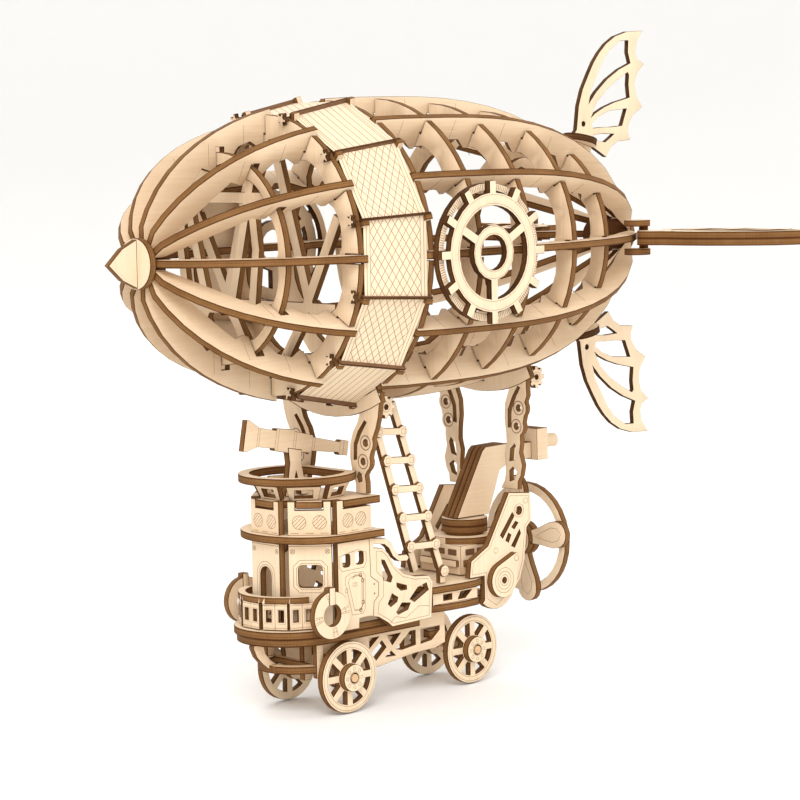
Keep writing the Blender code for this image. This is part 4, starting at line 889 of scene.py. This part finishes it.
# Marks on the gondola's sides: a frame round the pair of cabin windows, a door with hinges, a
# latch and its bent handle rails, the jogged joint to the lattice and a line round the lattice.
WINDOW_FRAME = [(-35.2, 38.8), (-29.3, 39.9), (-26.6, 39.0), (-26.5, 36.8), (-27.3, 35.4), (-34.3, 35.2),
                (-35.1, 36.1), (-35.2, 38.8)]
DOOR = [(-33.4, 32.2), (-33.3, 33.7), (-31.5, 34.5), (-27.8, 34.4), (-27.0, 33.5), (-27.2, 25.2),
        (-27.9, 24.3), (-31.3, 24.3), (-32.3, 28.3), (-33.4, 32.2)]
DOOR_PANEL = [(-32.4, 32.2), (-32.2, 33.0), (-31.2, 33.6), (-28.6, 33.5), (-28.1, 33.0), (-28.2, 26.0),
              (-28.7, 25.3), (-30.6, 25.3), (-31.4, 28.6), (-32.4, 32.2)]
HANDLE = [(-31.0, 33.0), (-30.2, 33.9), (-28.3, 33.6), (-27.7, 32.4), (-27.8, 26.6), (-28.6, 25.2),
          (-30.4, 25.4)]
JOINT = [(-25.5, 42.6), (-25.2, 32.9), (-22.7, 31.1), (-22.8, 28.0), (-24.3, 26.6), (-24.6, 23.2)]
LATTICE = [(-24.0, 39.7), (-21.1, 39.2), (-19.3, 37.7), (-17.1, 34.4), (-14.4, 32.2), (-10.8, 31.1),
           (-6.1, 30.7), (-4.9, 29.1), (-5.5, 20.1), (-18.5, 19.7), (-19.9, 20.9), (-22.8, 22.6),
           (-24.0, 23.0), (-23.4, 26.4), (-21.9, 27.9), (-21.8, 31.6), (-24.0, 33.4)]
LOW_LINE = [(-19.2, 20.6), (-17.4, 22.0), (-14.0, 21.2), (-9.6, 23.6), (-6.2, 23.2)]
flank_lines = [WINDOW_FRAME, DOOR, DOOR_PANEL, inset_line(LATTICE, 0.75), LOW_LINE,
               box_line(-33.4, 30.0, -32.6, 30.9), box_line(-33.0, 26.6, -32.3, 27.4),
               box_line(-31.0, 31.2, -29.7, 32.0), [(-30.3, 31.2), (-30.3, 32.0)]]
dark_lines = [HANDLE, JOINT]
dark_lines += [ring_line(spot, 0.45, 8)
               for spot in ((-28.5, 33.7), (-27.8, 32.3), (-27.8, 27.0), (-28.6, 25.2))]
dark_lines += [ring_line(spot, 0.18, 6) for spot in ((-24.1, 30.9), (-24.1, 28.6))]
for label, side in SIDES:
    flank = on_flank(side * FLANK_FACE, side)
    engrave(f"side_marks_{label}", "hull", [(flank, flank_lines)])
    engrave(f"side_joint_{label}", "hull", [(flank, dark_lines)], width=0.42)

# Marks on the engine's sides: a line inside the outline, small circles where bolts would be and
# rings round the boss's centre.
STERN_OUTLINE = [(24.0, 47.7), (16.4, 35.0), (10.4, 31.8), (9.8, 27.6), (14.9, 27.6), (14.9, 21.4),
                 (19.0, 18.7), (25.2, 22.7), (27.6, 25.4), (29.2, 29.8), (30.2, 38.3), (31.9, 39.8),
                 (31.8, 46.9)]
plate_lines = [inset_line(STERN_OUTLINE, 0.75), ring_line((30.0, 45.1), 0.7, 12),
               ring_line((19.1, 33.5), 0.7, 12), ring_line((27.5, 42.8), 1.7, 16)]
boss_lines = [ring_line((20.3, 26.0), r, 24) for r in (1.4, 2.3, 3.2)] + [ring_line((24.7, 31.2), 0.75, 12)]
for label, side in SIDES:
    engrave(f"stern_marks_{label}", "hull",
            [(on_flank(side * (STERN_PLATE_Y + PLY_FACE), side), plate_lines),
             (on_flank(side * (BOSS_Y + PLY_FACE), side), boss_lines)])

# Marks on the wheels: a double line round the rim, and a ring of eight small bolts round the bore
# of the hub cap. They turn with their wheels.
for label, axle_x, face_y in PAIRS:
    hub = (axle_x, WHEEL_RADIUS)
    bolts = [ring_line(polar(2.3, k * math.pi / 4, hub), 0.4, 8) for k in range(8)]
    for side_name, side in SIDES:
        engrave(f"wheel_marks_{label}_{side_name}", f"{label}_wheels",
                [(on_flank(side * face_y, side), [ring_line(hub, 8.15, 40), ring_line(hub, 7.15, 40)]),
                 (on_flank(side * (face_y + PLY), side), bolts + [ring_line(hub, 1.55, 20)])], width=0.2)

# Marks on the small fittings: bound bands on the lifebuoys, squares on the ladder's end plates,
# turned rings on the telescope, and a line round the eyelets of the hangers and the cogs' hubs.
LIFEBUOY = (-39.4, 25.6)
bands = []
for quarter in range(4):
    middle = math.radians(10 + 90 * quarter)
    for shift in (-0.17, -0.085, 0.085, 0.17):
        bands.append([polar(r, middle + shift, LIFEBUOY) for r in (3.0, 5.4)])
    bands.append([polar(4.2, middle + a, LIFEBUOY) for a in (-0.17, 0.17)])
for label, side in SIDES:
    engrave(f"lifebuoy_marks_{label}", "hull",
            [(on_flank(side * (LIFEBUOY_Y + PLY_FACE), side), bands)], width=0.2)
end_plates = []
RUNGS, FIRST_RUNG, RUNG_STEP = 5, 0.172, 0.170
for number in range(RUNGS):
    part = FIRST_RUNG + RUNG_STEP * number
    for (top_x, top_z), (foot_x, foot_z) in (((-21.7, 74.6), (-7.7, 31.6)), ((-14.3, 74.0), (0.8, 31.4))):
        x, z = top_x + (foot_x - top_x) * part, top_z + (foot_z - top_z) * part
        end_plates.append(box_line(x - 0.62, z - 0.62, x + 0.62, z + 0.62))
end_plates.append(box_line(0.68, 29.98, 1.92, 31.22))
engrave("ladder_marks", "hull", [(on_flank(-12.9), end_plates)], width=0.2)
SPYGLASS_TILT, SPYGLASS_END = math.radians(-10.6), (-51.6, 68.4)
glass = [[swung(u, v, SPYGLASS_TILT, SPYGLASS_END) for v in (-half_width, half_width)]
         for u, half_width in ((3.9, 2.3), (4.5, 2.15), (9.6, 2.5), (10.4, 2.6), (15.3, 2.4), (16.0, 2.3),
                               (21.3, 1.7), (22.0, 1.5), (30.2, 1.6), (31.4, 1.7))]
engrave("telescope_marks", "hull", [(on_flank(side * PLY_FACE, side), glass) for _, side in SIDES],
        width=0.2)
hanger_marks = []
for x, eyelets in ((-23.3, ((12.9, 65.0), (11.9, 60.4))), (28.3, ((13.4, 69.0), (12.5, 64.3)))):
    for sense in (-1, 1):
        sheet = axes(-ACROSS * sense, UP, (x - sense * PLY_FACE, 0, 0))
        hanger_marks.append((sheet, [ring_line((mirror * y, z), 1.75, 16)
                                     for y, z in eyelets for mirror in (-1, 1)]))
engrave("hanger_marks", "hull", hanger_marks, width=0.19)
cog_marks = [(on_flank(side * (y + PLY_FACE), side), [ring_line(spot, 1.25, 14)])
             for _, side in SIDES for y, spot in ((COG_FRONT_Y, (-19.1, 73.4)), (COG_REAR_Y, (34.7, 76.3)))]
engrave("cog_marks", "hull", cog_marks, width=0.19)

# Marks on the medallions: blocks of fine hatching round the backing ring between the handles,
# and lines round the ship's wheel.
MEDALLION = (-7.4, AXIS_Z)
HANDLES, HATCH_STEP = 12, 2.1
hatches = [[polar(r, math.radians(30 * gap + 15 + step * HATCH_STEP), MEDALLION) for r in (14.95, 16.25)]
           for gap in range(HANDLES) for step in range(-4, 5)]
wheel_rings = [ring_line(MEDALLION, r, count) for r, count in ((11.6, 48), (13.7, 48), (4.6, 24), (6.2, 24))]
for label, side in SIDES:
    engrave(f"medallion_hatch_{label}", "hull",
            [(on_flank(side * (MEDALLION_RING_Y + PLY_FACE), side), hatches)], width=0.3)
    engrave(f"medallion_rings_{label}", "hull",
            [(on_flank(side * (MEDALLION_WHEEL_Y + PLY_FACE), side), wheel_rings)], width=0.19)

# Marks on the ribs and the propeller: short scored lines across each rib between the rings, and a
# scored drop on each paddle with two circles round the hub.
RIB_SCORES = ((-60.4, 27.3), (-49.8, 31.6), (-15.3, 37.2), (2.0, 37.3), (19.4, 35.9), (38.0, 31.6))
rib_marks = []
for number in range(RIBS):
    turn = math.radians(RIB_STEP * number)
    outward = Vector((0, -math.cos(turn), math.sin(turn)))
    for sense in (-1, 1):
        across_rib = ALONG.cross(outward) * sense
        sheet = axes(ALONG, outward * sense, Vector((0, 0, AXIS_Z)) + across_rib * PLY_FACE)
        rib_marks.append((sheet, [[(x, sense * (r - 0.4)), (x, sense * (r - 5.6))] for x, r in RIB_SCORES]))
engrave("rib_marks", "hull", rib_marks, width=0.18)
SHAFT = (0, 32.9)
HUB_FACE_X, PADDLE_FACE_X = 39.3, 40.8
DROP = [(5.2, 0.0), (8.5, -1.1), (11.4, -1.9), (13.6, -1.5), (14.8, 0.0), (13.6, 1.5), (11.4, 1.9),
        (8.5, 1.1), (5.2, 0.0)]
drops = [[swung(u, v, math.radians(90 * blade + 9), SHAFT) for u, v in DROP] for blade in range(4)]
engrave("propeller_marks", "propeller_set",
        [(axes(-ACROSS, UP, (HUB_FACE_X, 0, 0)), [ring_line(SHAFT, 2.6, 20), ring_line(SHAFT, 3.6, 24)]),
         (axes(-ACROSS, UP, (PADDLE_FACE_X, 0, 0)), drops)], width=0.22)
